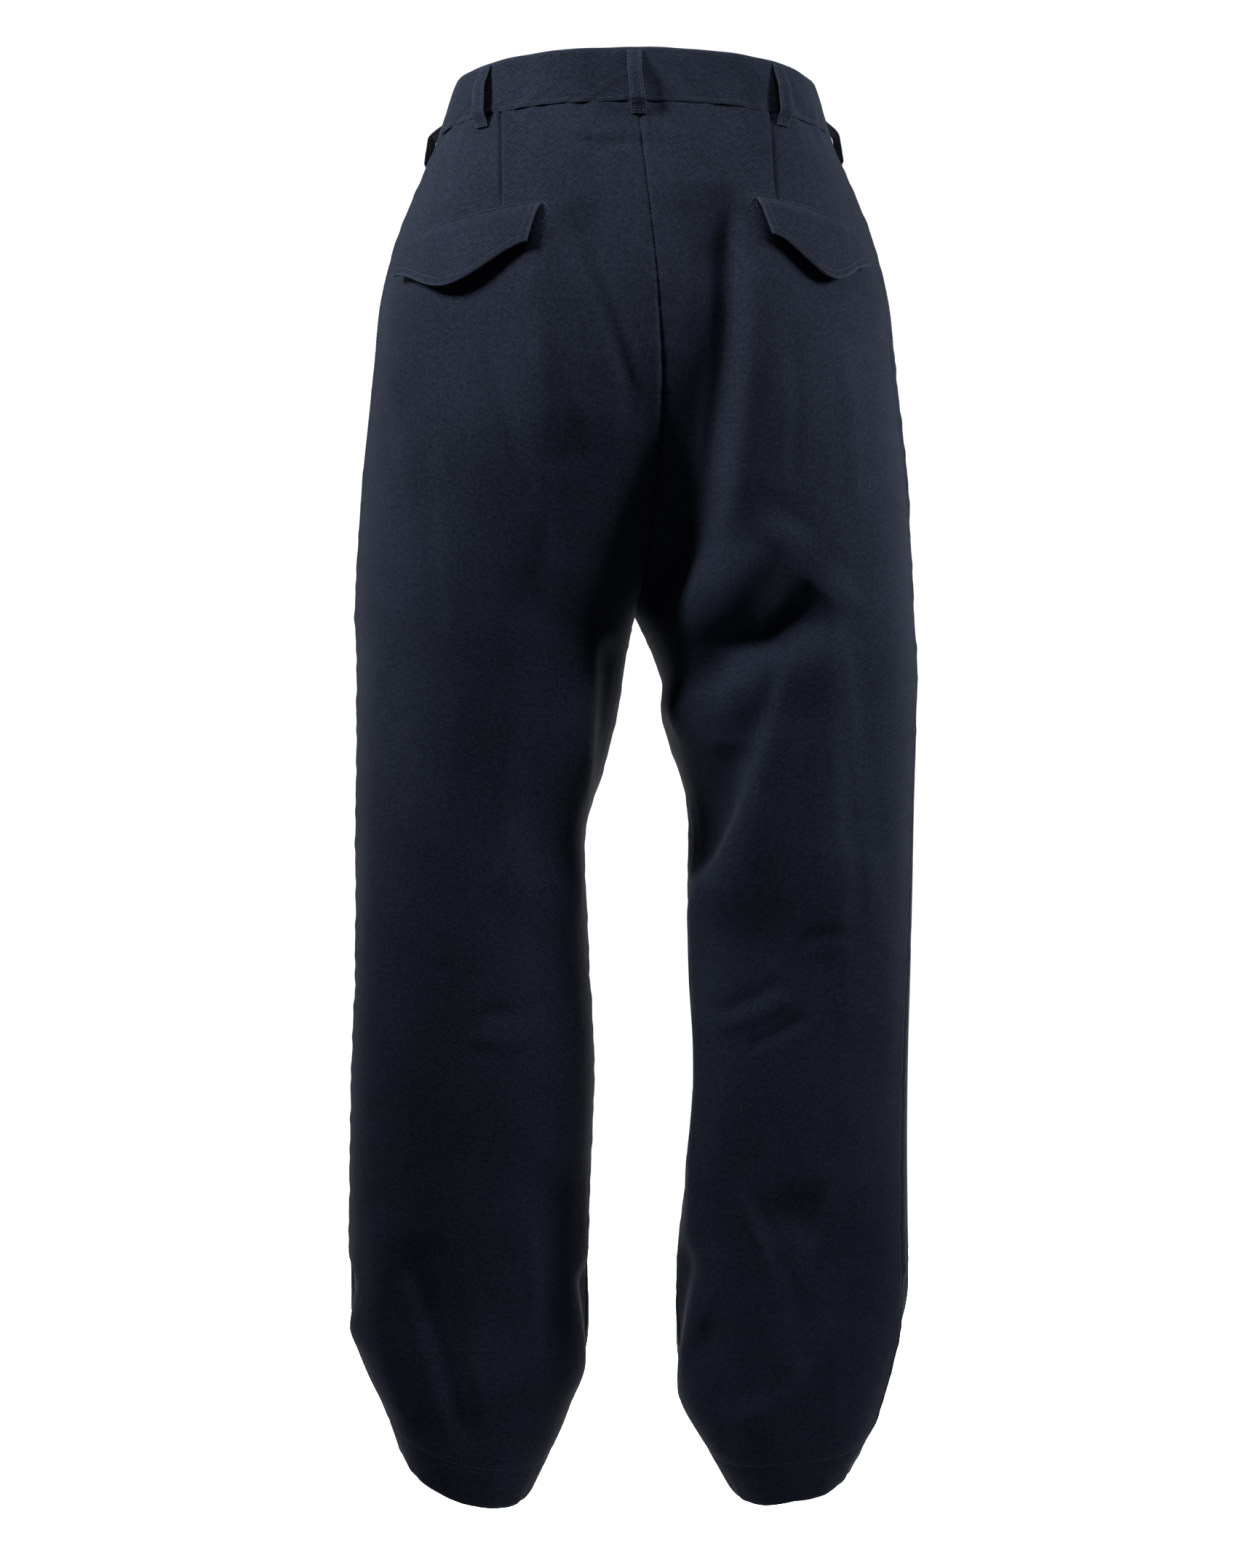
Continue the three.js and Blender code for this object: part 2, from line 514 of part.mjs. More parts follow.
function waistButton() {
  const { radius, height, dish, rim, edge } = BUTTON;
  const profile = [
    [0, 0], [radius - edge, 0], [radius, edge], [radius, height - edge], [radius - edge, height],
    [radius - rim, height], [radius - rim - dish, height - dish], [0, height - dish],
  ].map(([x, y]) => new THREE.Vector2(x, y));
  const button = mesh('waist_button', new THREE.LatheGeometry(profile, BUTTON.segments),
    new THREE.MeshStandardMaterial({ color: BUTTON_COLOUR, roughness: 0.4, metalness: 0 }));
  const seat = BAND_PROUD + BAND_WALL + TAB_GAP + 2 * SEAM_GAP;
  button.position.copy(bandPoint(BUTTON.place, BUTTON.level, seat));
  const line = oval(LEGS.right, BUTTON.level);
  const out = normal('right', line.total - BUTTON.place, BUTTON.level);
  button.quaternion.setFromUnitVectors(new THREE.Vector3(0, 1, 0), out);
  return button;
}

// A pocket flap, stiff and standing away from the hip, and the welt that it hangs over
function flapPoint(legName, along, below, lift) {
  const { start, width, innerLevel, outerLevel } = FLAPS[legName];
  const distance = start + width * along + FLAP.slant * below;
  return off(legName, distance, THREE.MathUtils.lerp(innerLevel, outerLevel, along) - below, lift);
}
function pocketFlap(legName) {
  const { standOff, outerLift } = FLAPS[legName];
  const drop = (along) => {
    const toPoint = along < FLAP.pointAt ? along / FLAP.pointAt : (1 - along) / (1 - FLAP.pointAt);
    return FLAP.sideDrop + (FLAP.pointDrop - FLAP.sideDrop) * smooth(0, 1, toPoint);
  };
  const clearance = (along, below) => {
    const turned = FLAP.turn * smooth(0, FLAP.turnDepth, below);
    const hang = (standOff + (outerLift - standOff) * along) * (below / FLAP.pointDrop) ** FLAP.hangPower;
    return LAID_GAP + turned + hang;
  };
  const layer = (extra) => grid(FLAP.rows, FLAP.columns, (down, along) => {
    const below = drop(along) * down;
    return flapPoint(legName, along, below, clearance(along, below) + extra);
  });
  return mesh(`pocket_flap_${legName}`, wall(layer(FLAP.wall), layer(0), legName === 'left'));
}
function pocketWelt(legName) {
  const { lerp } = THREE.MathUtils;
  const layer = (lift) => grid(1, WELT.columns, (down, along) => (
    flapPoint(legName, lerp(WELT.inset, 1 - WELT.inset, along), lerp(WELT.top, WELT.bottom, down), lift)));
  return mesh(`pocket_welt_${legName}`, wall(layer(LAID_GAP + WELT.wall), layer(LAID_GAP), legName === 'left'));
}

// A belt loop: a strip seated at the band's top edge and below the waist seam, bowed out between
function beltLoop({ name, leg, from, place, top, bulge }) {
  const seat = BAND_PROUD + SEAM_GAP;
  const lift = (down) => seat + bulge * smooth(0, LOOP.upperBend, down) * smooth(0, LOOP.lowerBend, 1 - down);
  const at = (down, across, extra) => {
    const level = top - LOOP.length * down;
    const total = bandLength(leg, level);
    const middle = from === 'back' ? place : total - place;
    const distance = middle + (across - 0.5) * LOOP.width;
    // past the centre back the distance runs on along the left leg's skin
    if (distance < 0) return off('left', -distance, level, lift(down) + extra);
    return off(leg, distance, level, lift(down) + extra);
  };
  const layer = (extra) => grid(LOOP.steps, 2, (down, across) => at(down, across, extra));
  return mesh(name, wall(layer(LOOP.wall), layer(0), leg === 'left'));
}

const trousers = new THREE.Group();
for (const legName of Object.keys(LEGS)) {
  trousers.add(
    legPanel(legName, 'back'),
    legPanel(legName, 'front'),
    waistband(legName),
    pocketFlap(legName),
    pocketWelt(legName),
  );
}
trousers.add(flyLap(), waistButton(), ...LOOPS.map(beltLoop));

export default trousers;
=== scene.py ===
# Officer trousers in navy cotton twill, in the hollow form they keep while worn, seen from behind.
# The cloth is thin shells over the skin that the solids are made from, with finer folds and stitches.
# Sizes are in millimetres up to the last step, which builds every mesh in metres.
import math
import bpy
import numpy as np
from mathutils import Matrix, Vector
from mathutils.bvhtree import BVHTree


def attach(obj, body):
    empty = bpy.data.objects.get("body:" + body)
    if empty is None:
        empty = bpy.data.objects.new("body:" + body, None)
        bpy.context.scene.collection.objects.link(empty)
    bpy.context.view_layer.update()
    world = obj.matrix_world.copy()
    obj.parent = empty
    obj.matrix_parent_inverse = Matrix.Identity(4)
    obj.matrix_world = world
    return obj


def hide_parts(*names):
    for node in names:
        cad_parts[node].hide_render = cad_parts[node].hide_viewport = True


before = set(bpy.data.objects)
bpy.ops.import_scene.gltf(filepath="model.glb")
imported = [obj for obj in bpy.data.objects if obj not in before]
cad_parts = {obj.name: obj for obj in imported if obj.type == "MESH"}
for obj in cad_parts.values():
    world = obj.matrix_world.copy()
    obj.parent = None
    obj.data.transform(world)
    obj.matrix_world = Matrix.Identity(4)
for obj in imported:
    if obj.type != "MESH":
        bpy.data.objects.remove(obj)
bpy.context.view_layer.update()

MM = 0.001

# Driving dimensions, as in the part's source
CLOTH_WALL = 1.2
BAND_WALL = 2.6
BAND_HEIGHT = 41
BAND_PROUD = 0.8
LAID_GAP = 0.65
TAB_GAP = 0.5
TAB_RISE = 3
CROTCH_LEVEL = -394
HEM_DEPTH = 32
OVAL_POWER = 2.15
NORMAL_STEP = 1.5
HIP_SEAM_TURN = 13
SEAM_TURN_LEVELS = (-900, -300)
BACK_RISE = 15
WAIST_DEPTH = 115
RISE_ENDS = -260
BREAK_LEVEL = -850
LIFT_POWER = 1.3

HIP_SECTIONS = [
    [0, 136, -136, -108, 0, 102],
    [-41, 149, -149, -117, 0, 110],
    [-72, 162, -152, -130, 0, 117],
    [-116, 180, -149, -143, 0, 123],
    [-160, 191, -138, -151, 0, 127],
    [-204, 196, -118, -152, 0, 128],
    [-248, 200.5, -92, -148, 0, 128],
    [-292, 205, -56, -142, 0, 127],
    [-336, 208, -28, -135, 0, 125],
    [-370, 210, -10, -129, 1, 122],
    [CROTCH_LEVEL, 211, 0, -125, 3, 119],
]
LEFT_SECTIONS = [
    *HIP_SECTIONS,
    [-424, 210, 6, -121, 8, 116],
    [-468, 210, 13, -115, 10, 111],
    [-512, 210, 24, -108, 8, 105],
    [-556, 210.5, 37, -103, 4, 99],
    [-620, 210, 36, -96, 0, 91],
    [-688, 211.5, 32.5, -90, 0, 85],
    [-740, 213.5, 30.5, -85, 0, 82],
    [-820, 215, 33.5, -77, 2, 79],
    [-880, 216, 35, -73, 4, 80],
    [-915, 217.5, 33, -72, 8, 86],
    [-945, 218.5, 32.5, -74, 12, 97],
    [-965, 212, 35, -76, 14, 104],
    [-990, 203, 46, -77, 14, 102],
    [-1010, 194, 54, -77, 14, 103],
    [-1052, 178, 75, -76, 14, 106],
]
RIGHT_SECTIONS = [
    *HIP_SECTIONS,
    [-424, 213, 14, -123, 2, 113],
    [-446, 213.5, 21, -120, 0, 109],
    [-468, 212.5, 20.5, -117, -2, 105],
    [-490, 212, 26, -115, -4, 101],
    [-534, 210.5, 39.5, -110, -6, 93],
    [-600, 209, 40.5, -105, -10, 82],
    [-666, 207, 42, -103, -16, 71],
    [-720, 205, 45, -102, -22, 62],
    [-776, 204, 43, -102, -26, 53],
    [-820, 204, 38.5, -103, -28, 49],
    [-864, 204.5, 33, -105, -29, 48],
    [-905, 206, 30.5, -108, -27, 52],
    [-932, 203, 29.5, -111, -25, 60],
    [-958, 197, 29, -113, -24, 66],
    [-984, 190, 33, -115, -24, 64],
    [-1010, 181, 48, -117, -24, 65],
    [-1042, 162, 68, -118, -24, 67],
]

LEGS = {
    "left": {
        "side": -1, "sections": LEFT_SECTIONS, "hem": -1052, "ankle_seam_turn": 4,
        "outer_tilt": 18, "inner_tilt": -13, "front_lift": 46,
    },
    "right": {
        "side": 1, "sections": RIGHT_SECTIONS, "hem": -1042, "ankle_seam_turn": 24,
        "outer_tilt": 3, "inner_tilt": -12, "front_lift": 46,
    },
}

# Where the pull of the seat draws the back's centre seam to the right of the midline
SEAT_DRAW = [
    # [level, shift]
    [-20, 0], [-77, 6], [-118, 11], [-175, 17], [-240, 20], [-320, 14], [-394, 3], [-430, 0],
]
DRAW_REACH = 90
DRAW_FACE = [-60, 20]  # the depths between which the pull fades out towards the front

# Soft ridges (out above 0) and troughs. A path holds [x, z] on a back or front face and [y, z] on an
# outer or inner one. Its widths are those on its two sides: for a path that runs down, the side of low x
# or y and then the other, and for one that runs towards high x, below and then above.
FOLDS = [
    # the hollow beside the centre seam, with the steep ridge that ends it
    ["both", "back", -15, [34, 18], [[66, -85], [64, -190], [44, -300], [22, -400]]],
    ["right", "back", 5, [18, 34], [[92, -80], [93, -170], [90, -270], [76, -350]]],
    # drag lines from the centre seam up towards the left pocket
    ["left", "back", -6, [18, 18], [[-48, -100], [-16, -180], [12, -272]]],
    ["left", "back", 4, [24, 18], [[-70, -100], [-62, -180], [-40, -290]]],
    ["left", "back", -5, [30, 26], [[-52, -360], [-62, -480], [-66, -600]]],
    # the left leg's inner hanging edge
    ["left", "back", 6, [34, 14], [[-38, -400], [-38, -470], [-37, -560], [-42, -640]]],
    ["left", "back", -5, [12, 16], [[-16, -410], [-18, -470], [-24, -540]]],
    # the pouch and the deep trough below the right seat
    ["right", "back", 8, [20, 24], [[30, -378], [62, -380], [92, -362], [116, -330]]],
    ["right", "back", -13, [20, 20], [[38, -436], [68, -424], [100, -408], [130, -376]]],
    ["right", "back", 5, [18, 26], [[22, -480], [40, -472], [70, -464], [104, -452]]],
    # the right leg's long edge, from mid-thigh round to the inner calf
    ["right", "back", 9, [16, 36], [[92, -480], [83, -545], [60, -592], [46, -640], [50, -705],
    [54, -757], [42, -817], [36, -860]]],
    ["right", "back", -8, [16, 18], [[66, -490], [62, -540], [44, -592]]],
    ["right", "back", -5, [26, 24], [[92, -600], [84, -680], [88, -760], [84, -840]]],
    ["right", "back", 4, [16, 18], [[140, -400], [146, -520], [138, -660]]],
    ["right", "back", -5, [18, 20], [[166, -390], [164, -480], [160, -580]]],
    ["right", "back", -6, [22, 22], [[86, -846], [112, -838], [140, -842]]],
    ["right", "back", -6, [20, 22], [[42, -925], [66, -940], [86, -980]]],
    # long soft hollows down the left calf, and the folds into its hem
    ["left", "back", -6, [20, 20], [[-56, -800], [-54, -880], [-58, -950]]],
    ["left", "back", 5, [16, 16], [[-186, -830], [-180, -930], [-156, -1010]]],
    ["left", "back", -5, [16, 16], [[-160, -850], [-148, -940], [-126, -1020]]],
    # the front: hollows from the crotch to the hips, and a crease's soft edge down each leg
    ["left", "front", -7, [16, 20], [[-12, -360], [-52, -310], [-104, -270], [-146, -236]]],
    ["right", "front", -7, [20, 16], [[10, -350], [44, -296], [92, -252], [138, -222]]],
    ["left", "front", 6, [16, 22], [[-22, -400], [-62, -356], [-112, -318], [-156, -296]]],
    ["right", "front", 6, [22, 16], [[22, -392], [64, -342], [110, -300], [150, -276]]],
    ["left", "front", 7, [24, 20], [[-104, -300], [-114, -470], [-122, -640], [-124, -820]]],
    ["right", "front", 7, [20, 24], [[104, -290], [116, -460], [124, -640], [122, -810]]],
    ["left", "front", -7, [22, 18], [[-62, -430], [-72, -540], [-70, -690]]],
    ["right", "front", -7, [18, 22], [[66, -420], [80, -520], [78, -640]]],
    ["left", "front", -5, [20, 20], [[-168, -420], [-170, -560], [-166, -700]]],
    ["right", "front", -5, [20, 20], [[168, -440], [166, -560], [162, -690]]],
    # the breaks over the feet
    ["left", "front", -7, [14, 14], [[-50, -868], [-90, -882], [-140, -880], [-196, -862]]],
    ["left", "front", 7, [14, 14], [[-46, -900], [-92, -918], [-142, -916], [-200, -894]]],
    ["left", "front", -7, [12, 12], [[-62, -936], [-104, -948], [-150, -944], [-184, -930]]],
    ["right", "front", -7, [14, 14], [[48, -852], [92, -868], [142, -862], [190, -846]]],
    ["right", "front", 7, [14, 14], [[44, -884], [92, -902], [140, -898], [192, -880]]],
    ["right", "front", -7, [12, 12], [[58, -922], [98, -934], [142, -932], [176, -920]]],
    # the sides. The left leg's lie on the other side of it than in the solids
    ["left", "inner", -5, [16, 18], [[34, -190], [26, -330], [30, -470]]],
    ["right", "outer", -5, [16, 18], [[40, -200], [30, -320], [24, -450]]],
    ["left", "inner", -6, [14, 16], [[-14, -880], [6, -940], [30, -990]]],
    ["right", "outer", -5, [16, 14], [[-52, -880], [-34, -930], [-8, -984]]],
    ["left", "outer", -6, [16, 16], [[-20, -880], [10, -930], [40, -985]]],
    ["right", "inner", -6, [16, 16], [[-64, -860], [-40, -920], [-10, -975]]],
]

# Finer wrinkles than the solids carry, each one shallow
FINE_FOLDS = [
    # the seat: short pulls at the centre seam, under the band and towards the flaps
    ["both", "back", -1.4, [5, 6], [[-46, -52], [-26, -62], [-4, -58], [14, -64]]],
    ["both", "back", 1.0, [5, 5], [[-50, -44], [-28, -52], [-8, -50]]],
    ["left", "back", -1.3, [7, 6], [[-34, -128], [-14, -190], [8, -250]]],
    ["left", "back", 1.1, [6, 8], [[-80, -150], [-60, -215], [-34, -268]]],
    ["left", "back", -1.0, [6, 6], [[-110, -190], [-92, -260], [-70, -330]]],
    ["right", "back", -1.4, [6, 6], [[34, -96], [40, -150], [34, -220]]],
    ["right", "back", 1.2, [6, 7], [[52, -150], [54, -220], [40, -310]]],
    ["right", "back", -1.2, [6, 6], [[110, -190], [116, -250], [112, -310]]],
    ["both", "back", -1.5, [6, 7], [[26, -300], [18, -340], [10, -384]]],
    ["left", "back", -1.1, [7, 7], [[-150, -250], [-148, -340], [-138, -420]]],
    ["left", "back", 0.9, [6, 6], [[-180, -212], [-172, -262], [-160, -318]]],
    ["right", "back", 1.2, [6, 6], [[150, -200], [158, -262], [160, -330]]],
    # the steep edge of the hollow right of the centre seam, and the soft one left of it
    ["right", "back", 2.4, [7, 16], [[74, -78], [83, -150], [83, -220], [74, -300], [60, -350]]],
    ["right", "back", -2.2, [14, 7], [[64, -84], [71, -160], [69, -235], [58, -305]]],
    ["left", "back", 2.2, [18, 8], [[-68, -84], [-64, -180], [-65, -290], [-68, -400]]],
    ["left", "back", 1.4, [8, 6], [[-62, -88], [-48, -130], [-30, -190], [-8, -250]]],
    # below the seat
    ["right", "back", 3.4, [8, 16], [[34, -404], [62, -402], [92, -392], [124, -374]]],
    ["right", "back", -3.2, [14, 7], [[38, -424], [66, -418], [92, -408], [118, -392]]],
    ["right", "back", 4.0, [13, 16], [[96, -408], [118, -402], [138, -390], [158, -372]]],
    # the long edge down to the inner calf, and the shade inside it
    ["right", "back", 4.0, [8, 22], [[128, -402], [108, -457], [87, -531], [62, -590], [46, -634]]],
    ["right", "back", -4.5, [24, 12], [[104, -436], [82, -490], [60, -545], [42, -590]]],
    ["right", "back", 1.4, [5, 9], [[152, -410], [160, -500], [170, -580], [176, -650]]],
    ["right", "back", 1.2, [5, 6], [[34, -462], [60, -456], [84, -448]]],
    ["left", "back", -1.1, [5, 6], [[-186, -440], [-176, -462], [-166, -484]]],
    ["left", "back", -1.0, [5, 5], [[-190, -462], [-182, -478], [-172, -498]]],
    ["left", "back", -0.9, [8, 8], [[-96, -400], [-104, -520], [-106, -650]]],
    ["left", "back", 0.8, [7, 7], [[-128, -430], [-134, -560], [-136, -680]]],
    # the knees
    ["right", "back", -1.7, [4, 6], [[60, -692], [84, -680], [112, -664]]],
    ["right", "back", 1.6, [5, 6], [[62, -702], [88, -692], [118, -678]]],
    ["right", "back", -1.6, [4, 5], [[80, -716], [102, -706], [128, -690]]],
    ["right", "back", -1.2, [6, 6], [[120, -640], [140, -632], [164, -636]]],
    ["right", "back", 1.1, [8, 8], [[150, -560], [152, -680], [150, -780]]],
    ["left", "back", -1.1, [7, 6], [[-60, -676], [-86, -690], [-116, -690]]],
    ["left", "back", 0.9, [6, 6], [[-62, -700], [-92, -712], [-124, -706]]],
    ["left", "back", -0.9, [6, 6], [[-170, -640], [-150, -656], [-132, -660]]],
    # the calves and hems
    ["right", "back", -1.8, [8, 8], [[104, -860], [118, -900], [122, -950]]],
    ["right", "back", 1.4, [7, 8], [[58, -860], [70, -900], [74, -960]]],
    ["right", "back", -1.6, [6, 6], [[58, -960], [66, -990], [68, -1016]]],
    ["right", "back", 1.2, [6, 6], [[140, -900], [146, -950], [142, -1000]]],
    ["left", "back", 1.3, [7, 7], [[-78, -840], [-74, -910], [-80, -980]]],
    ["left", "back", -2.4, [7, 8], [[-150, -880], [-136, -940], [-118, -1010]]],
    ["left", "back", -3.4, [8, 7], [[-186, -900], [-168, -960], [-150, -1010]]],
    ["left", "back", 3.0, [7, 8], [[-172, -880], [-152, -950], [-134, -1014]]],
    ["left", "back", 0.9, [7, 7], [[-120, -880], [-116, -950], [-112, -1010]]],
    # the front
    ["left", "front", -1.6, [6, 6], [[-10, -334], [-40, -300], [-84, -272]]],
    ["right", "front", -1.6, [6, 6], [[10, -338], [42, -300], [80, -268]]],
    ["left", "front", 1.2, [6, 6], [[-14, -380], [-50, -344], [-92, -318]]],
    ["right", "front", 1.2, [6, 6], [[16, -376], [52, -340], [96, -306]]],
    ["left", "front", -1.0, [7, 7], [[-60, -80], [-64, -150], [-60, -220]]],
    ["right", "front", -1.0, [7, 7], [[62, -84], [68, -150], [66, -226]]],
    ["left", "front", -1.8, [6, 6], [[-70, -650], [-104, -664], [-140, -660]]],
    ["right", "front", -1.8, [6, 6], [[66, -640], [102, -656], [140, -650]]],
    ["left", "front", 1.3, [6, 6], [[-76, -700], [-112, -712], [-152, -702]]],
    ["right", "front", 1.3, [6, 6], [[74, -690], [108, -700], [148, -694]]],
    ["left", "front", -1.6, [5, 6], [[-64, -912], [-110, -930], [-156, -924]]],
    ["right", "front", -1.6, [5, 6], [[60, -896], [108, -914], [152, -908]]],
    ["left", "front", -1.0, [7, 7], [[-160, -470], [-164, -560], [-158, -640]]],
    ["right", "front", -1.0, [7, 7], [[158, -480], [162, -570], [156, -650]]],
    # the sides
    ["left", "inner", -1.3, [6, 6], [[-20, -640], [6, -672], [34, -684]]],
    ["right", "outer", -1.3, [6, 6], [[-26, -630], [2, -660], [30, -672]]],
    ["left", "inner", 1.1, [6, 7], [[-40, -150], [-36, -250], [-30, -340]]],
    ["right", "outer", 1.1, [6, 7], [[-44, -160], [-36, -250], [-28, -330]]],
    ["left", "outer", -1.3, [6, 6], [[-30, -660], [0, -680], [30, -684]]],
    ["right", "inner", -1.3, [6, 6], [[-36, -650], [-4, -668], [26, -672]]],
]

FACES = {"back": (0, -1), "front": (0, 1), "outer": (1, 0), "inner": (-1, 0)}
PATH_STEPS = 6
FOLD_REACH = 2.6
FOLD_FADE = 0.22
FACING = 0.45
SEAM_FADE = 26
CROTCH_FADE = 50


def smooth(low, high, x):
    t = np.clip((np.asarray(x, float) - low) / (high - low), 0, 1)
    return t * t * (3 - 2 * t)


def lerp(a, b, t):
    return a + (b - a) * t


def peak(x, width):
    """A smooth bump, 1 high at x = 0, that falls off over a width."""
    return np.exp(-((x / width) ** 2))


def through(rows, keys):
    """Every value column of rows of [key, value, ...] with falling keys, on a smooth curve at keys."""
    rows = np.asarray(rows, float)
    k = np.clip(np.searchsorted(-rows[:, 0], -keys, side="right") - 1, 0, len(rows) - 2)
    before, a, b = rows[np.maximum(k - 1, 0)], rows[k], rows[k + 1]
    beyond = rows[np.minimum(k + 2, len(rows) - 1)]
    span = (b[:, 0] - a[:, 0])[:, None]
    slope_a = (b - before)[:, 1:] / (b - before)[:, :1]
    slope_b = (beyond - a)[:, 1:] / (beyond - a)[:, :1]
    t = np.clip((keys - a[:, 0])[:, None] / span, 0, 1)
    return ((2 * t**3 - 3 * t**2 + 1) * a[:, 1:] + (t**3 - 2 * t**2 + t) * span * slope_a
            + (3 * t**2 - 2 * t**3) * b[:, 1:] + (t**3 - t**2) * span * slope_b)


OVAL_STEPS = 160
SPARE_STEPS = 16
CROWDING = {"most": 5, "least": 1, "from": 0.04, "to": 0.22}


class Ovals:
    """One leg's ovals at some levels, each a fine line from its back inner end round to its front one."""

    def __init__(self, leg_name, levels):
        leg = LEGS[leg_name]
        self.outer, self.inner, self.back, self.middle, self.front = through(leg["sections"], levels).T
        self.centre = (self.outer + self.inner) / 2
        self.half = (self.outer - self.inner) / 2
        share = np.clip(np.maximum(self.centre, 0) / self.half, 0, 1)
        cut = np.where(self.inner < 0, np.arccos(share ** (OVAL_POWER / 2)), 0)
        span = math.pi - cut
        self.x, self.y = self.at(span[:, None] * np.linspace(-1, 1, OVAL_STEPS + 1))
        self.lengths = self.along(self.x, self.y)
        self.total = self.lengths[:, -1]
        self.closed = self.inner >= 0
        turn = np.radians(lerp(leg["ankle_seam_turn"], HIP_SEAM_TURN, smooth(*SEAM_TURN_LEVELS, levels)))
        seam_at = (span - turn) / (2 * span) * OVAL_STEPS
        steps = np.arange(OVAL_STEPS + 1)
        self.seam = np.array([np.interp(s, steps, row) for s, row in zip(seam_at, self.lengths)])
        spare_angles = span[:, None] + cut[:, None] * np.linspace(0, 1, SPARE_STEPS + 1)
        self.spare = {
            "back": self.along(*self.at(-spare_angles))[:, -1],
            "front": self.along(*self.at(spare_angles))[:, -1],
        }

    def at(self, angle):
        c, n = np.cos(angle), np.sin(angle)
        back, middle, front = self.back[:, None], self.middle[:, None], self.front[:, None]
        reach = np.where(n < 0, middle - back, front - middle)
        power = 2 / OVAL_POWER
        x = self.centre[:, None] + self.half[:, None] * np.sign(c) * np.abs(c) ** power
        return x, middle + reach * np.sign(n) * np.abs(n) ** power

    @staticmethod
    def along(x, y):
        steps = np.hypot(np.diff(x, axis=1), np.diff(y, axis=1))
        return np.concatenate([np.zeros((len(x), 1)), np.cumsum(steps, axis=1)], axis=1)


def on_ovals(leg_name, distance, level):
    """Base points, level outward directions and the ovals' own numbers at distances and levels."""
    levels, row = np.unique(level, return_inverse=True)
    lines = Ovals(leg_name, levels)
    x, y, ox, oy = (np.empty(len(distance)) for _ in range(4))
    order = np.argsort(row, kind="stable")
    for part in np.split(order, np.flatnonzero(np.diff(row[order])) + 1):
        r = row[part[0]]
        lengths, lx, ly = lines.lengths[r], lines.x[r], lines.y[r]
        d = np.clip(distance[part], 0, lines.total[r])
        x[part], y[part] = np.interp(d, lengths, lx), np.interp(d, lengths, ly)
        low = np.clip(np.searchsorted(lengths, d, side="right") - 1, 0, OVAL_STEPS - 1)
        back, on = low - 2, low + 3
        if lines.closed[r]:
            back, on = back % OVAL_STEPS, on % OVAL_STEPS
        else:
            back, on = np.maximum(back, 0), np.minimum(on, OVAL_STEPS)
        ox[part], oy[part] = ly[on] - ly[back], lx[back] - lx[on]
    size = np.hypot(ox, oy)
    numbers = {name: getattr(lines, name)[row] for name in
               ("outer", "inner", "back", "front", "total", "seam", "closed")}
    return x, y, ox / size, oy / size, numbers


def drape(leg_name, x, y, level, oval):
    """The tilt of the waist, the pull of the seat and the lift of the hem, which move the whole skin."""
    leg = LEGS[leg_name]
    rise = BACK_RISE * smooth(RISE_ENDS, 0, level) * (-y / WAIST_DEPTH)
    drawn = through(SEAT_DRAW, np.clip(level, SEAT_DRAW[-1][0], SEAT_DRAW[0][0]))[:, 0]
    draw = drawn * peak(x, DRAW_REACH) * (1 - smooth(*DRAW_FACE, y))
    along = np.clip((y - oval["back"]) / (oval["front"] - oval["back"]), 0, 1)
    across = (np.abs(x) - (oval["outer"] + oval["inner"]) / 2) / ((oval["outer"] - oval["inner"]) / 2)
    tilt = np.where(across > 0, leg["outer_tilt"], -leg["inner_tilt"]) * across
    lift = (1 - smooth(leg["hem"], BREAK_LEVEL, level)) * (leg["front_lift"] * along**LIFT_POWER + tilt)
    return np.stack([x + draw, y, level + rise + lift], axis=-1)


def spline(path):
    """Points along a smooth curve through a fold's path."""
    p = np.asarray(path, float)
    points = []
    for i in range(len(p) - 1):
        p0, p1, p2, p3 = p[max(i - 1, 0)], p[i], p[i + 1], p[min(i + 2, len(p) - 1)]
        v0, v1 = (p2 - p0) / 2, (p3 - p1) / 2
        for t in np.arange(PATH_STEPS) / PATH_STEPS:
            bend = (-3 * p1 + 3 * p2 - 2 * v0 - v1) * t**2
            points.append((2 * p1 - 2 * p2 + v0 + v1) * t**3 + bend + v0 * t + p1)
    return np.array(points + [p[-1]])


class Fold:
    def __init__(self, leg, face, out, widths, path):
        self.leg, self.face, self.out, self.widths = leg, face, out, widths
        self.points = spline(path)
        reach = FOLD_REACH * max(widths)
        self.low, self.high = self.points.min(0) - reach, self.points.max(0) + reach


folds = [Fold(*row) for row in FOLDS + FINE_FOLDS]


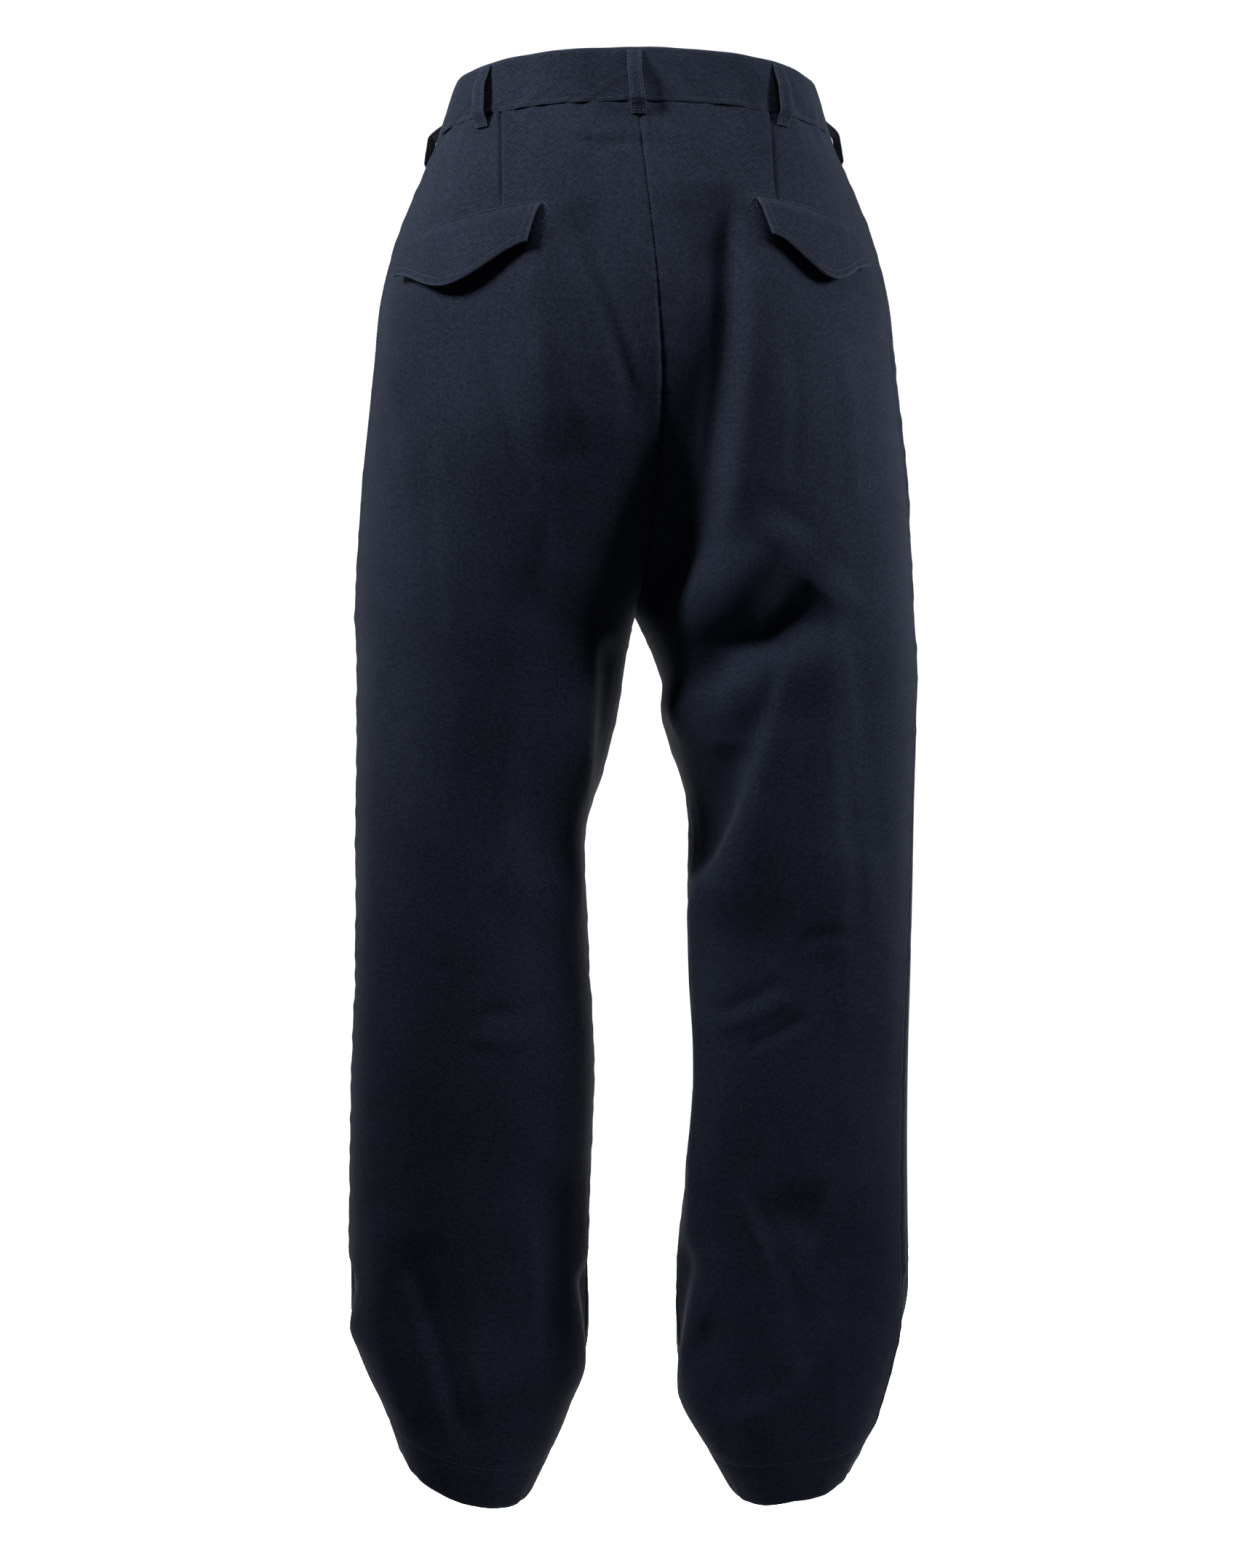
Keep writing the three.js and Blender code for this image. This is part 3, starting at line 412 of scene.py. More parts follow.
def fold_out(leg_name, place, ox, oy, off_seam):
    """How far the folds move the skin out at draped points with level outward directions."""
    side = LEGS[leg_name]["side"]
    total = np.zeros(len(place))
    for fold in folds:
        if fold.leg not in ("both", leg_name):
            continue
        face_x, face_y = FACES[fold.face]
        facing = smooth(0, FACING, ox * face_x * side + oy * face_y)
        at = place[:, [1, 2]] if face_x else place[:, [0, 2]]
        near = np.flatnonzero((facing > 0) & np.all((at > fold.low) & (at < fold.high), axis=1))
        if not len(near):
            continue
        a, b = fold.points[:-1], fold.points[1:]
        piece = b - a
        offset = at[near, None] - a
        t = np.clip((offset * piece).sum(-1) / (piece**2).sum(-1), 0, 1)
        gap = offset - t[..., None] * piece
        distance = np.hypot(gap[..., 0], gap[..., 1])
        best = distance.argmin(1)
        rows = np.arange(len(near))
        gap, distance, t = gap[rows, best], distance[rows, best], t[rows, best]
        cross = piece[best, 0] * gap[:, 1] - piece[best, 1] * gap[:, 0]
        share = (best + t) / len(piece)
        width = np.where(cross < 0, fold.widths[0], fold.widths[1])
        ends = smooth(0, FOLD_FADE, share) * smooth(0, FOLD_FADE, 1 - share)
        height = fold.out * facing[near] * ends * peak(distance, width)
        total[near] += height * (1 if fold.leg == "both" else off_seam[near])
    return total


def skin(leg_name, distance, level):
    """The cloth's outer surface at distances along the ovals from the back's inner end, at levels."""
    side = LEGS[leg_name]["side"]
    x, y, ox, oy, oval = on_ovals(leg_name, distance, level)
    place = drape(leg_name, x * side, y, level, oval)
    below_crotch = 1 - smooth(CROTCH_LEVEL - CROTCH_FADE, CROTCH_LEVEL, level)
    edge = np.minimum(distance, oval["total"] - distance)
    off_seam = np.maximum(smooth(0, SEAM_FADE, edge), below_crotch)
    moved = fold_out(leg_name, place, ox * side, oy, off_seam)
    x = np.maximum(x + ox * moved * off_seam, 0)
    return drape(leg_name, x * side, y + oy * moved, level, oval)


def skin_and_normal(leg_name, distance, level):
    shape = np.shape(distance)
    distance, level = np.ravel(distance).astype(float), np.ravel(level).astype(float)
    leg = LEGS[leg_name]
    line = Ovals(leg_name, level)
    total, closed = line.total, line.closed

    def near(d):
        return skin(leg_name, np.where(closed, d % total, np.clip(d, 0, total)), level)

    def beside(other):
        there = Ovals(leg_name, other)
        return skin(leg_name, np.clip(there.seam + distance - line.seam, 0, there.total), other)

    rise = beside(np.minimum(level + NORMAL_STEP, 0)) - beside(np.maximum(level - NORMAL_STEP, leg["hem"]))
    out = np.cross(near(distance + NORMAL_STEP) - near(distance - NORMAL_STEP), rise) * leg["side"]
    at_cut = ~closed & ((distance < 0.01) | (distance > total - 0.01))
    out[:, 0] = np.where(at_cut, 0, out[:, 0])
    out /= np.linalg.norm(out, axis=1)[:, None]
    return skin(leg_name, distance, level).reshape(shape + (3,)), out.reshape(shape + (3,))


def wobble(x, seed, pitch):
    """A smooth uneven wave along x, the same on each run, between about -1 and 1."""
    waves = ((1.0, 0.5, 1.7), (0.61, 0.3, 4.1), (1.73, 0.28, 2.9), (0.37, 0.25, 0.6))
    return sum(w * np.sin(2 * math.pi * f * x / pitch + p * (seed + 1.3)) for f, w, p in waves)


# Materials
def socket(node, name, value):
    node.inputs[name].default_value = value


class Nodes:
    """A short way to write a material's nodes."""

    def __init__(self, name):
        self.material = bpy.data.materials.new(name)
        self.material.use_nodes = True
        self.tree = self.material.node_tree
        self.shader = self.tree.nodes["Principled BSDF"]

    def add(self, kind, links=None, **values):
        node = self.tree.nodes.new(kind)
        for key, value in values.items():
            if hasattr(node, key):
                setattr(node, key, value)
            else:
                node.inputs[key.replace("_", " ")].default_value = value
        for key, source in (links or {}).items():
            self.tree.links.new(source, node.inputs[key])
        return node

    def math(self, operation, a, b=None, clamp=False):
        node = self.tree.nodes.new("ShaderNodeMath")
        node.operation, node.use_clamp = operation, clamp
        for i, value in enumerate((a, b)):
            if value is None:
                continue
            if isinstance(value, (int, float)):
                node.inputs[i].default_value = value
            else:
                self.tree.links.new(value, node.inputs[i])
        return node.outputs[0]

    def ramp(self, factor, stops):
        node = self.tree.nodes.new("ShaderNodeValToRGB")
        elements = node.color_ramp.elements
        for i, (place, colour) in enumerate(stops):
            element = elements[i] if i < 2 else elements.new(place)
            element.position, element.color = place, (*colour, 1)
        self.tree.links.new(factor, node.inputs[0])
        return node.outputs[0]

    def noise(self, vector, scale, **values):
        return self.add("ShaderNodeTexNoise", {"Vector": vector}, Scale=scale, **values).outputs[0]

    def mapped(self, vector, **values):
        return self.add("ShaderNodeMapping", {"Vector": vector}, **values).outputs[0]

    def link(self, source, target):
        self.tree.links.new(source, target)


# Linear colours of the cloth, from its shaded to its worn places
NAVY_DEEP = (0.0046, 0.0060, 0.0102)
NAVY = (0.0150, 0.0192, 0.0322)
NAVY_WORN = (0.032, 0.040, 0.060)
TWILL_PITCH = 1.25 * MM
TWILL_ANGLE = 63


def twill_material(name, grain=1.0):
    n = Nodes(name)
    coords = n.add("ShaderNodeUVMap", uv_map="cloth").outputs[0]
    turned = n.mapped(coords, Rotation=(0, 0, math.radians(TWILL_ANGLE)))
    object_coords = n.add("ShaderNodeTexCoord").outputs["Object"]
    # steep fine diagonal of the twill, broken up by the yarns' unevenness
    yarn = n.noise(n.mapped(turned, Scale=(1, 0.16, 1)), 1 / TWILL_PITCH, Detail=2.0, Roughness=0.6)
    wave = n.add("ShaderNodeTexWave", {"Vector": turned}, Scale=2 * math.pi / 20 / TWILL_PITCH,
                 Distortion=1.4, Detail=2.0, Detail_Scale=0.6).outputs["Fac"]
    slub = n.noise(n.mapped(coords, Scale=(1, 0.045, 1)), 900.0, Detail=2.0)
    fuzz = n.noise(coords, 1500.0, Detail=2.0)
    mottle = n.noise(object_coords, 9.0, Detail=4.0, Roughness=0.62)
    weave = n.math("ADD", n.math("MULTIPLY", wave, 0.34), n.math("MULTIPLY", yarn, 0.42))
    weave = n.math("ADD", weave, n.math("MULTIPLY", slub, 0.24))
    grain_noise = n.noise(coords, 380.0, Detail=3.0, Roughness=0.7)
    tone = n.math("ADD", n.math("MULTIPLY", weave, 0.42), n.math("MULTIPLY", mottle, 0.22))
    tone = n.math("ADD", tone, n.math("MULTIPLY", grain_noise, 0.36))
    cloth = n.ramp(tone, [(0.41, NAVY_DEEP), (0.60, NAVY)])
    # worn and rubbed places, painted on the meshes at seams, hems and edges
    wear = n.add("ShaderNodeAttribute", attribute_name="wear").outputs["Fac"]
    rub = n.math("MULTIPLY", wear, n.math("MULTIPLY", n.math("ADD", fuzz, 0.15), 1.35), clamp=True)
    colour = n.add("ShaderNodeMix", data_type="RGBA")
    n.link(rub, colour.inputs["Factor"])
    n.link(cloth, colour.inputs["A"])
    colour.inputs["B"].default_value = (*NAVY_WORN, 1)
    n.link(colour.outputs["Result"], n.shader.inputs["Base Color"])
    rough = n.add("ShaderNodeMapRange", {"Value": tone}, To_Min=0.88, To_Max=1.0).outputs[0]
    n.link(rough, n.shader.inputs["Roughness"])
    relief = n.math("ADD", weave, n.math("MULTIPLY", fuzz, 0.25))
    bump = n.add("ShaderNodeBump", {"Height": relief}, Strength=0.55 * grain, Distance=0.0005)
    n.link(bump.outputs[0], n.shader.inputs["Normal"])
    socket(n.shader, "Specular IOR Level", 0.05)
    socket(n.shader, "Sheen Weight", 0.03)
    socket(n.shader, "Sheen Roughness", 0.45)
    socket(n.shader, "Sheen Tint", (0.50, 0.58, 0.80, 1))
    return n.material


def thread_material():
    n = Nodes("navy_thread")
    coords = n.add("ShaderNodeTexCoord").outputs["Object"]
    twist = n.noise(coords, 2600.0, Detail=1.0)
    colour = n.ramp(twist, [(0.3, (0.0150, 0.0190, 0.0310)), (0.7, (0.0420, 0.0510, 0.0740))])
    n.link(colour, n.shader.inputs["Base Color"])
    bump = n.add("ShaderNodeBump", {"Height": twist}, Strength=0.4, Distance=0.0002)
    n.link(bump.outputs[0], n.shader.inputs["Normal"])
    socket(n.shader, "Roughness", 0.85)
    socket(n.shader, "Specular IOR Level", 0.12)
    return n.material


def button_material():
    n = Nodes("dark_button")
    coords = n.add("ShaderNodeTexCoord").outputs["Object"]
    swirl = n.noise(coords, 260.0, Detail=4.0, Distortion=1.2)
    n.link(n.ramp(swirl, [(0.35, (0.010, 0.010, 0.012)), (0.75, (0.032, 0.031, 0.034))]),
           n.shader.inputs["Base Color"])
    n.link(n.add("ShaderNodeMapRange", {"Value": swirl}, To_Min=0.28, To_Max=0.42).outputs[0],
           n.shader.inputs["Roughness"])
    bump = n.add("ShaderNodeBump", {"Height": swirl}, Strength=0.08, Distance=0.0004)
    n.link(bump.outputs[0], n.shader.inputs["Normal"])
    return n.material


def floor_material():
    n = Nodes("pale_floor")
    coords = n.add("ShaderNodeTexCoord").outputs["Object"]
    grain = n.noise(coords, 40.0, Detail=3.0)
    colour = n.ramp(grain, [(0.0, (0.80, 0.80, 0.80)), (1.0, (0.84, 0.84, 0.84))])
    n.link(colour, n.shader.inputs["Base Color"])
    socket(n.shader, "Roughness", 0.9)
    return n.material


TWILL = twill_material("navy_twill")
TWILL_STIFF = twill_material("navy_twill_band", 0.8)
THREAD = thread_material()
BUTTON = button_material()


# Meshes
def piece(name, vertices, faces, material, uvs=None, wear=None):
    mesh = bpy.data.meshes.new(name)
    mesh.from_pydata((np.asarray(vertices) * MM).tolist(), [], np.asarray(faces).tolist())
    mesh.materials.append(material)
    if uvs is not None:
        layer = mesh.uv_layers.new(name="cloth")
        corners = np.empty(len(mesh.loops), dtype=np.int32)
        mesh.loops.foreach_get("vertex_index", corners)
        layer.data.foreach_set("uv", (np.asarray(uvs)[corners] * MM).ravel())
    if wear is not None:
        mesh.attributes.new("wear", "FLOAT", "POINT").data.foreach_set("value", np.ravel(wear))
    mesh.polygons.foreach_set("use_smooth", [True] * len(mesh.polygons))
    mesh.update()
    made = bpy.data.objects.new(name, mesh)
    bpy.context.scene.collection.objects.link(made)
    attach(made, "root")
    return made


def grid_faces(points, normals):
    """Quads over a grid of points, turned to face along its normals."""
    rows, columns = points.shape[:2]
    r, c = np.meshgrid(np.arange(rows - 1), np.arange(columns - 1), indexing="ij")
    a = (r * columns + c).ravel()
    quads = np.stack([a, a + columns, a + columns + 1, a + 1], axis=1)
    down, along = points[1:3, 1:3] - points[0:2, 1:3], points[1:3, 1:3] - points[1:3, 0:2]
    facing = (np.cross(down, along) * normals[1:3, 1:3]).sum()
    return quads if facing > 0 else quads[:, ::-1]


surfaces = {}


def sheet(name, points, normals, wall, uv, wear, material=None):
    """One panel of cloth in place of its solid: a grid of outer points, thickened inwards."""
    faces = grid_faces(points, normals)
    made = piece(f"{name}_cloth", points.reshape(-1, 3), faces, material or TWILL,
                 uv.reshape(-1, 2), np.clip(np.broadcast_to(wear, points.shape[:2]), 0, 1))
    surfaces[name] = BVHTree.FromPolygons(points.reshape(-1, 3).tolist(), faces.tolist())
    solid = made.modifiers.new("wall", "SOLIDIFY")
    solid.thickness, solid.offset = wall * MM, -1
    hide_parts(name)


def edge_spaced(count, length, edge, near=(0, 0.7, 1.5, 2.6, 4.2, 6.5)):
    """Places from 0 to length, close together at both ends."""
    near = np.array([n for n in near if n < edge])
    middle = np.linspace(edge, length - edge, count)
    return np.concatenate([near, middle, (length - near)[::-1]])


SEAM_DIP = 1.1  # how far the cloth rolls in at a seam
SEAM_ROLL = 1.6
PUCKER_REACH = 9


def seam_shape(gap, along, seed, pucker):
    """The height of the cloth beside a seam: a rolled edge, a low swell and uneven puckers."""
    roll = -SEAM_DIP * peak(gap, SEAM_ROLL)
    swell = 0.5 * peak(gap - 5, 3.5)
    waves = pucker * peak(gap, PUCKER_REACH) * wobble(along, seed, 21)
    return roll + swell + waves


PANEL_COLUMNS = 78
PANEL_STEP = 3.0
HEM_STITCH = 28
UNDER_BAND = 2.5  # how far a panel runs up into the band


def panel_levels(leg):
    top, hem = -BAND_HEIGHT + UNDER_BAND, leg["hem"]
    bands = [(top, top - 6, 5), (top - 6, CROTCH_LEVEL + 12, 0), (CROTCH_LEVEL + 12, CROTCH_LEVEL, 14),
             (CROTCH_LEVEL, hem + 6, 0), (hem + 6, hem, 6)]
    levels = [top]
    for start, end, rows in bands:
        rows = rows or int(abs(end - start) / PANEL_STEP)
        levels += list(np.linspace(start, end, rows + 1)[1:])
    return np.array(levels)


def panel_distance(leg_name, panel, across, levels):
    """Distances along the ovals for a panel's columns: across is 0 at the inner edge, 1 at the side."""
    line = Ovals(leg_name, levels)
    spare = line.spare[panel]
    length = line.seam if panel == "back" else line.total - line.seam
    cut_away = smooth(CROWDING["from"], CROWDING["to"], spare / (length + spare))
    crowding = lerp(CROWDING["most"], CROWDING["least"], cut_away)[:, None]
    rest = 1 - across[None, :]
    from_seam = rest * (length + spare)[:, None] - spare[:, None] * rest**crowding
    distance = line.seam[:, None] + (-from_seam if panel == "back" else from_seam)
    return distance, from_seam, length[:, None] - from_seam


DART_OUT = 99
DART_BOTTOM = -118
SIDE_POCKET = {"top_in": 50, "bottom_in": 3, "top": -44, "bottom": -205}


def distance_at_width(leg_name, levels, width):
    """Distances along the backs of the ovals to where they are a width out from the midline."""
    line = Ovals(leg_name, levels)
    return np.array([np.interp(width, x[:x.argmax() + 1], lengths[:x.argmax() + 1])
                     for x, lengths in zip(line.x, line.lengths)])


def past_dart(leg_name, distance, level):
    return distance - distance_at_width(leg_name, level[:, 0], DART_OUT)[:, None]


def side_pocket_in(level):
    """How far in front of the side seam the slanted pocket's opening is."""
    t = np.clip((SIDE_POCKET["top"] - level) / (SIDE_POCKET["top"] - SIDE_POCKET["bottom"]), 0, 1)
    return lerp(SIDE_POCKET["top_in"], SIDE_POCKET["bottom_in"], t)


def panel_relief(leg_name, panel, level, distance, from_side, from_inner):
    """The height of seams, puckers, darts and pocket edges over the skin, and the wear on them."""
    leg = LEGS[leg_name]
    seed = {"left": 1, "right": 5}[leg_name]
    above_crotch = smooth(CROTCH_LEVEL - 30, CROTCH_LEVEL + 20, level)
    centre_seed = {"back": 11, "front": 13}[panel]
    height = seam_shape(from_side, level, seed + 2, 0.6)
    height = height + seam_shape(from_inner, level, lerp(seed + 1, centre_seed, above_crotch), 0.4)
    hem_gap = level - leg["hem"]
    height += -0.7 * peak(hem_gap, 1.5) - 0.7 * peak(hem_gap - HEM_STITCH, 2.4)
    height += 0.5 * peak(hem_gap, 16) * wobble(distance, seed, 26)
    waist_gap = np.maximum(-BAND_HEIGHT - level, 0)
    height += 0.9 * peak(waist_gap, 15) * wobble(distance + 0.3 * level, seed + 4, 26)
    height += -0.8 * peak(waist_gap, 1.6)
    if panel == "back":
        gap = past_dart(leg_name, distance, level)
        reach = smooth(DART_BOTTOM, DART_BOTTOM + 14, level)
        height += reach * (0.9 * peak(gap + 3.2, 2.4) - 2.0 * peak(gap, 1.2))
    else:
        gap = from_side - side_pocket_in(level)
        reach = smooth(SIDE_POCKET["bottom"] - 2, SIDE_POCKET["bottom"] + 2, level)
        height += reach * (0.5 * peak(gap - 4, 3) - 1.0 * peak(gap, 1.0))
    wear = 0.12 * peak(from_side - 2, 2.2) + 0.04 * peak(from_inner - 2, 2.2)
    wear = wear + 0.55 * peak(hem_gap, 2.2) + 0.1 * peak(hem_gap - HEM_STITCH - 2, 3)
    return height, wear


HEM_TURN_IN = 2 * CLOTH_WALL + 0.5
GATHER_WIDTH = 14
GATHER_SHARE = 0.78


def gathered(leg_name, distance, level):
    """A back panel's columns drawn close together at its dart, so that the fold is sharp."""
    gap = past_dart(leg_name, distance, level)
    reach = smooth(DART_BOTTOM - 30, DART_BOTTOM, level)
    return distance - GATHER_SHARE * reach * gap * peak(gap, GATHER_WIDTH)


def leg_panel(leg_name, panel, flat, area):
    """A panel from the waist seam down to the hem, and up again inside as the hem's turning."""
    leg = LEGS[leg_name]
    down = panel_levels(leg)
    turning = leg["hem"] + np.array([0.2, 1.2, 3, 8, 16, 24, HEM_DEPTH])
    levels = np.concatenate([down, turning])
    inward = np.concatenate([np.zeros(len(down)), HEM_TURN_IN * smooth(-0.6, 1.6, turning - leg["hem"])])
    across = edge_spaced(PANEL_COLUMNS, 200, 9) / 200
    distance, from_side, from_inner = panel_distance(leg_name, panel, across, levels)
    level = np.broadcast_to(levels[:, None], distance.shape)
    if panel == "back":
        distance = gathered(leg_name, distance, level)
    points, normals = skin_and_normal(leg_name, distance, level)
    height, wear = panel_relief(leg_name, panel, level, distance, from_side, from_inner)
    points = points + normals * (height - inward[:, None])[..., None]
    from_seam = from_side * (1 if panel == "front" else -1)
    uv = np.stack([from_seam, level - 2 * (inward > 0)[:, None] * (level - leg["hem"])], axis=-1)
    sheet(f"{panel}_{leg_name}", points, normals, CLOTH_WALL, uv, wear)


# Stitches
STITCH = {"length": 2.5, "pitch": 3.1, "width": 0.50, "height": 0.24}


def stitch_row(centres, normals, runs):
    """Small raised threads: a flattened bar at each centre, along its run."""
    vertices, faces = [], []
    long_, wide, high = STITCH["length"] / 2, STITCH["width"] / 2, STITCH["height"]
    profile = [(-1.0, 0.35, -0.3), (-0.6, 1.0, 0.8), (0.0, 1.1, 1.0), (0.6, 1.0, 0.8), (1.0, 0.35, -0.3)]
    for centre, normal, run in zip(centres, normals, runs):
        side = np.cross(normal, run)
        base = len(vertices)
        for u, w, h in profile:
            middle = centre + run * u * long_
            for v, lift in ((-1, -0.25), (-0.62, h), (0.62, h), (1, -0.25)):
                vertices.append(middle + side * v * w * wide + normal * lift * high)
        for i in range(len(profile) - 1):
            for j in range(4):
                a, b = base + 4 * i + j, base + 4 * i + (j + 1) % 4
                faces.append((a, a + 4, b + 4, b))
        faces.append((base, base + 1, base + 2, base + 3))
        last = base + 4 * (len(profile) - 1)
        faces.append((last + 3, last + 2, last + 1, last))
    return vertices, faces


def along_line(points, normals):
    """Centres, normals and directions of stitches spaced along a line of points."""
    steps = np.linalg.norm(np.diff(points, axis=0), axis=1)
    place = np.concatenate([[0], np.cumsum(steps)])
    at = np.arange(STITCH["pitch"] / 2, place[-1], STITCH["pitch"])
    if not len(at):
        return [], [], []
    pick = lambda rows, where: np.stack([np.interp(where, place, rows[:, i]) for i in range(3)], axis=1)
    centres, out = pick(points, at), pick(normals, at)
    run = pick(points, at + 0.8) - pick(points, at - 0.8)
    out /= np.linalg.norm(out, axis=1)[:, None]
    run -= out * (run * out).sum(1)[:, None]
    run /= np.linalg.norm(run, axis=1)[:, None]
    return centres, out, run


def snapped(points, normals, names):
    """The points moved along their normals onto the first of the named pieces of cloth that is there."""
    on = np.array(points, float)
    for i, (point, normal) in enumerate(zip(points, normals)):
        for name in names:
            hit = surfaces[name].ray_cast(point + normal * 9, -normal, 18)[0]
            if hit is not None:
                on[i] = hit
                break
    return on


class Stitching:
    """Every stitch of one kind of seam, joined into one piece."""

    def __init__(self, name):
        self.name, self.vertices, self.faces = name, [], []

    def line(self, names, leg_name, distance, level):
        """A row over the leg's skin along distances and levels, laid on the named pieces."""
        distance, level = np.broadcast_arrays(np.asarray(distance, float), level)
        self.run(names, *skin_and_normal(leg_name, distance, level))

    def run(self, names, points, normals):
        centres, out, run = along_line(points, normals)
        if not len(centres):
            return
        vertices, faces = stitch_row(snapped(centres, out, names), out, run)
        base = len(self.vertices)
        self.vertices += vertices
        self.faces += [tuple(base + i for i in face) for face in faces]

    def thread(self, points, normals, thickness):
        """One thread along a line of points."""
        points, normals = np.asarray(points), np.asarray(normals)
        run = np.gradient(points, axis=0)
        run /= np.linalg.norm(run, axis=1)[:, None]
        side = np.cross(normals, run)
        base, count = len(self.vertices), len(points)
        for turn in range(6):
            angle = turn * math.pi / 3
            ring = points + (side * math.cos(angle) + normals * math.sin(angle)) * thickness / 2
            self.vertices += list(ring)
        for turn in range(6):
            a, b = base + turn * count, base + (turn + 1) % 6 * count
            self.faces += [(a + i, a + i + 1, b + i + 1, b + i) for i in range(count - 1)]

    def build(self):
        piece(self.name, self.vertices, self.faces, THREAD)


# The waistband: two halves that meet at the centre back, the left one lapping over the right at the front
TAB = {"end": 40, "rise_start": -32, "rise_end": -9, "underlap": -6}
BAND_STITCH = 3.2


def band_points(place, level, lift):
    """Points and normals on the waistband by distance from the centre front, below 0 on the left."""
    place, level, lift = np.broadcast_arrays(np.asarray(place, float), level, lift)
    points, normals = np.empty(place.shape + (3,)), np.empty(place.shape + (3,))
    for leg_name, chosen in (("left", place < 0), ("right", place >= 0)):
        if chosen.any():
            total = Ovals(leg_name, level[chosen]).total
            distance = total - np.abs(place[chosen])
            points[chosen], normals[chosen] = skin_and_normal(leg_name, distance, level[chosen])
    return points + normals * lift[..., None], normals


def tab_lift(place):
    return BAND_PROUD + (TAB_RISE + TAB_GAP) * smooth(TAB["rise_start"], TAB["rise_end"], place)


def waistband(leg_name):
    levels = -edge_spaced(18, BAND_HEIGHT, 3.4, (0, 0.6, 1.4, 2.4))
    centre_back = Ovals(leg_name, levels).total[:, None]
    along = edge_spaced(150, 400, 6)[None, :] / 400
    left = leg_name == "left"
    start, end = (-centre_back, TAB["end"]) if left else (centre_back, TAB["underlap"])
    place = lerp(start, end, along)
    level = np.broadcast_to(levels[:, None], place.shape)
    lift = tab_lift(place) if left else np.full(place.shape, float(BAND_PROUD))
    points, normals = band_points(place, level, lift)
    to_edge = np.minimum(-level, level + BAND_HEIGHT)
    height = -0.8 * peak(to_edge, 1.1)
    height += -0.35 * peak(level + BAND_HEIGHT - BAND_STITCH, 1.1)
    height += -0.30 * peak(level + BAND_STITCH, 1.1)
    pull = peak(level + BAND_HEIGHT, 20) * 0.7
    height += pull * wobble(place + 0.9 * level, 2 if left else 6, 15)
    height += 0.7 * wobble(place - 0.5 * level, 5 if left else 3, 52)
    points = points + normals * height[..., None]
    wear = 0.5 * peak(level, 1.6) + 0.25 * peak(level + BAND_HEIGHT, 1.4)
    uv = np.stack([place, level + 300], axis=-1)
    sheet(f"waistband_{leg_name}", points, normals, BAND_WALL, uv, wear, material=TWILL_STIFF)


# Belt loops: [name, leg, measured from, place, top, bulge]
LOOP_WIDTH = 11
LOOP_LENGTH = 49
LOOP_SEAT = 1.7
LOOPS = [
    ["belt_loop_centre_back", "right", "back", 0, -3, 6.5],
    ["belt_loop_back_left", "left", "back", 119, -3, 5.5],
    ["belt_loop_back_right", "right", "back", 113, -3, 6],
    ["belt_loop_side_left", "left", "front", 170, -10, 16],
    ["belt_loop_side_right", "right", "front", 173, -8, 14],
    ["belt_loop_front_left", "left", "front", 92, -3, 5.5],
    ["belt_loop_front_right", "right", "front", 92, -3, 5.5],
]


def loop_points(row, down, across, extra):
    """Points and normals of a belt loop, seated at its two ends and bowed out between."""
    _, leg_name, start, place, top, bulge = row
    down, across, extra = np.broadcast_arrays(down, across, extra)
    level = top - LOOP_LENGTH * down
    lift = BAND_PROUD + LOOP_SEAT + bulge * smooth(0, 0.44, down) * smooth(0, 0.22, 1 - down) + extra
    total = Ovals(leg_name, level.ravel()).total.reshape(level.shape)
    distance = (place if start == "back" else total - place) + (across - 0.5) * LOOP_WIDTH
    points, normals = skin_and_normal(leg_name, np.maximum(distance, 0), level)
    over = distance < 0
    if over.any():
        points[over], normals[over] = skin_and_normal("left", -distance[over], level[over])
    return points + normals * lift[..., None], normals


def belt_loop(row, stitching):
    name = row[0]
    down = (edge_spaced(34, 100, 4, (0, 0.8, 1.8)) / 100)[:, None]
    across = (edge_spaced(9, LOOP_WIDTH, 1.6, (0, 0.5, 1.0)) / LOOP_WIDTH)[None, :]
    side = np.minimum(across, 1 - across) * LOOP_WIDTH
    end = np.minimum(down, 1 - down) * LOOP_LENGTH
    height = -0.55 * peak(side, 0.8) - 0.4 * peak(end, 0.8)
    height = height - 0.28 * peak(side - 2.4, 0.7) + 0.1 * wobble(down * 60 + across * 9, len(name), 14)
    points, normals = loop_points(row, down, across, height)
    uv = np.stack(np.broadcast_arrays(across * LOOP_WIDTH + 40 * row[3] / 7, -LOOP_LENGTH * down), axis=-1)
    wear = 0.45 * peak(side, 1.0) + 0.3 * peak(end, 1.2)
    sheet(name, points, normals, 1.5, uv, wear, material=TWILL_STIFF)
    run = np.linspace(0.03, 0.97, 60)
    for place in (0.22, 0.78):
        on, out = loop_points(row, run, place, 0.0)
        stitching.run([name], on, out)
    for tack in (0.925, 0.955, 0.04, 0.07):
        on, out = loop_points(row, tack, np.linspace(0.12, 0.88, 12), 0.0)
        stitching.run([name], on, out)


# Back pockets: a flap with a blunt point over a narrow welt on each side
FLAPS = {
    "left": {"start": 73, "width": 116, "inner_level": -115, "outer_level": -127, "outer_lift": 9},
    "right": {"start": 84, "width": 99, "inner_level": -110, "outer_level": -121, "outer_lift": 5},
}
FLAP = {"side_drop": 28, "point_drop": 48, "point_at": 0.45, "slant": 0.25, "wall": 2.0, "turn": 2.4,
        "stand_off": 7, "cut_share": 0.84, "stitch_inset": 5}


def flap_points(leg_name, along, below, lift):
    f = FLAPS[leg_name]
    along, below, lift = np.broadcast_arrays(along, below, lift)
    distance = f["start"] + f["width"] * along + FLAP["slant"] * below
    level = lerp(f["inner_level"], f["outer_level"], along) - below
    points, normals = skin_and_normal(leg_name, distance, level)
    return points + normals * lift[..., None], normals


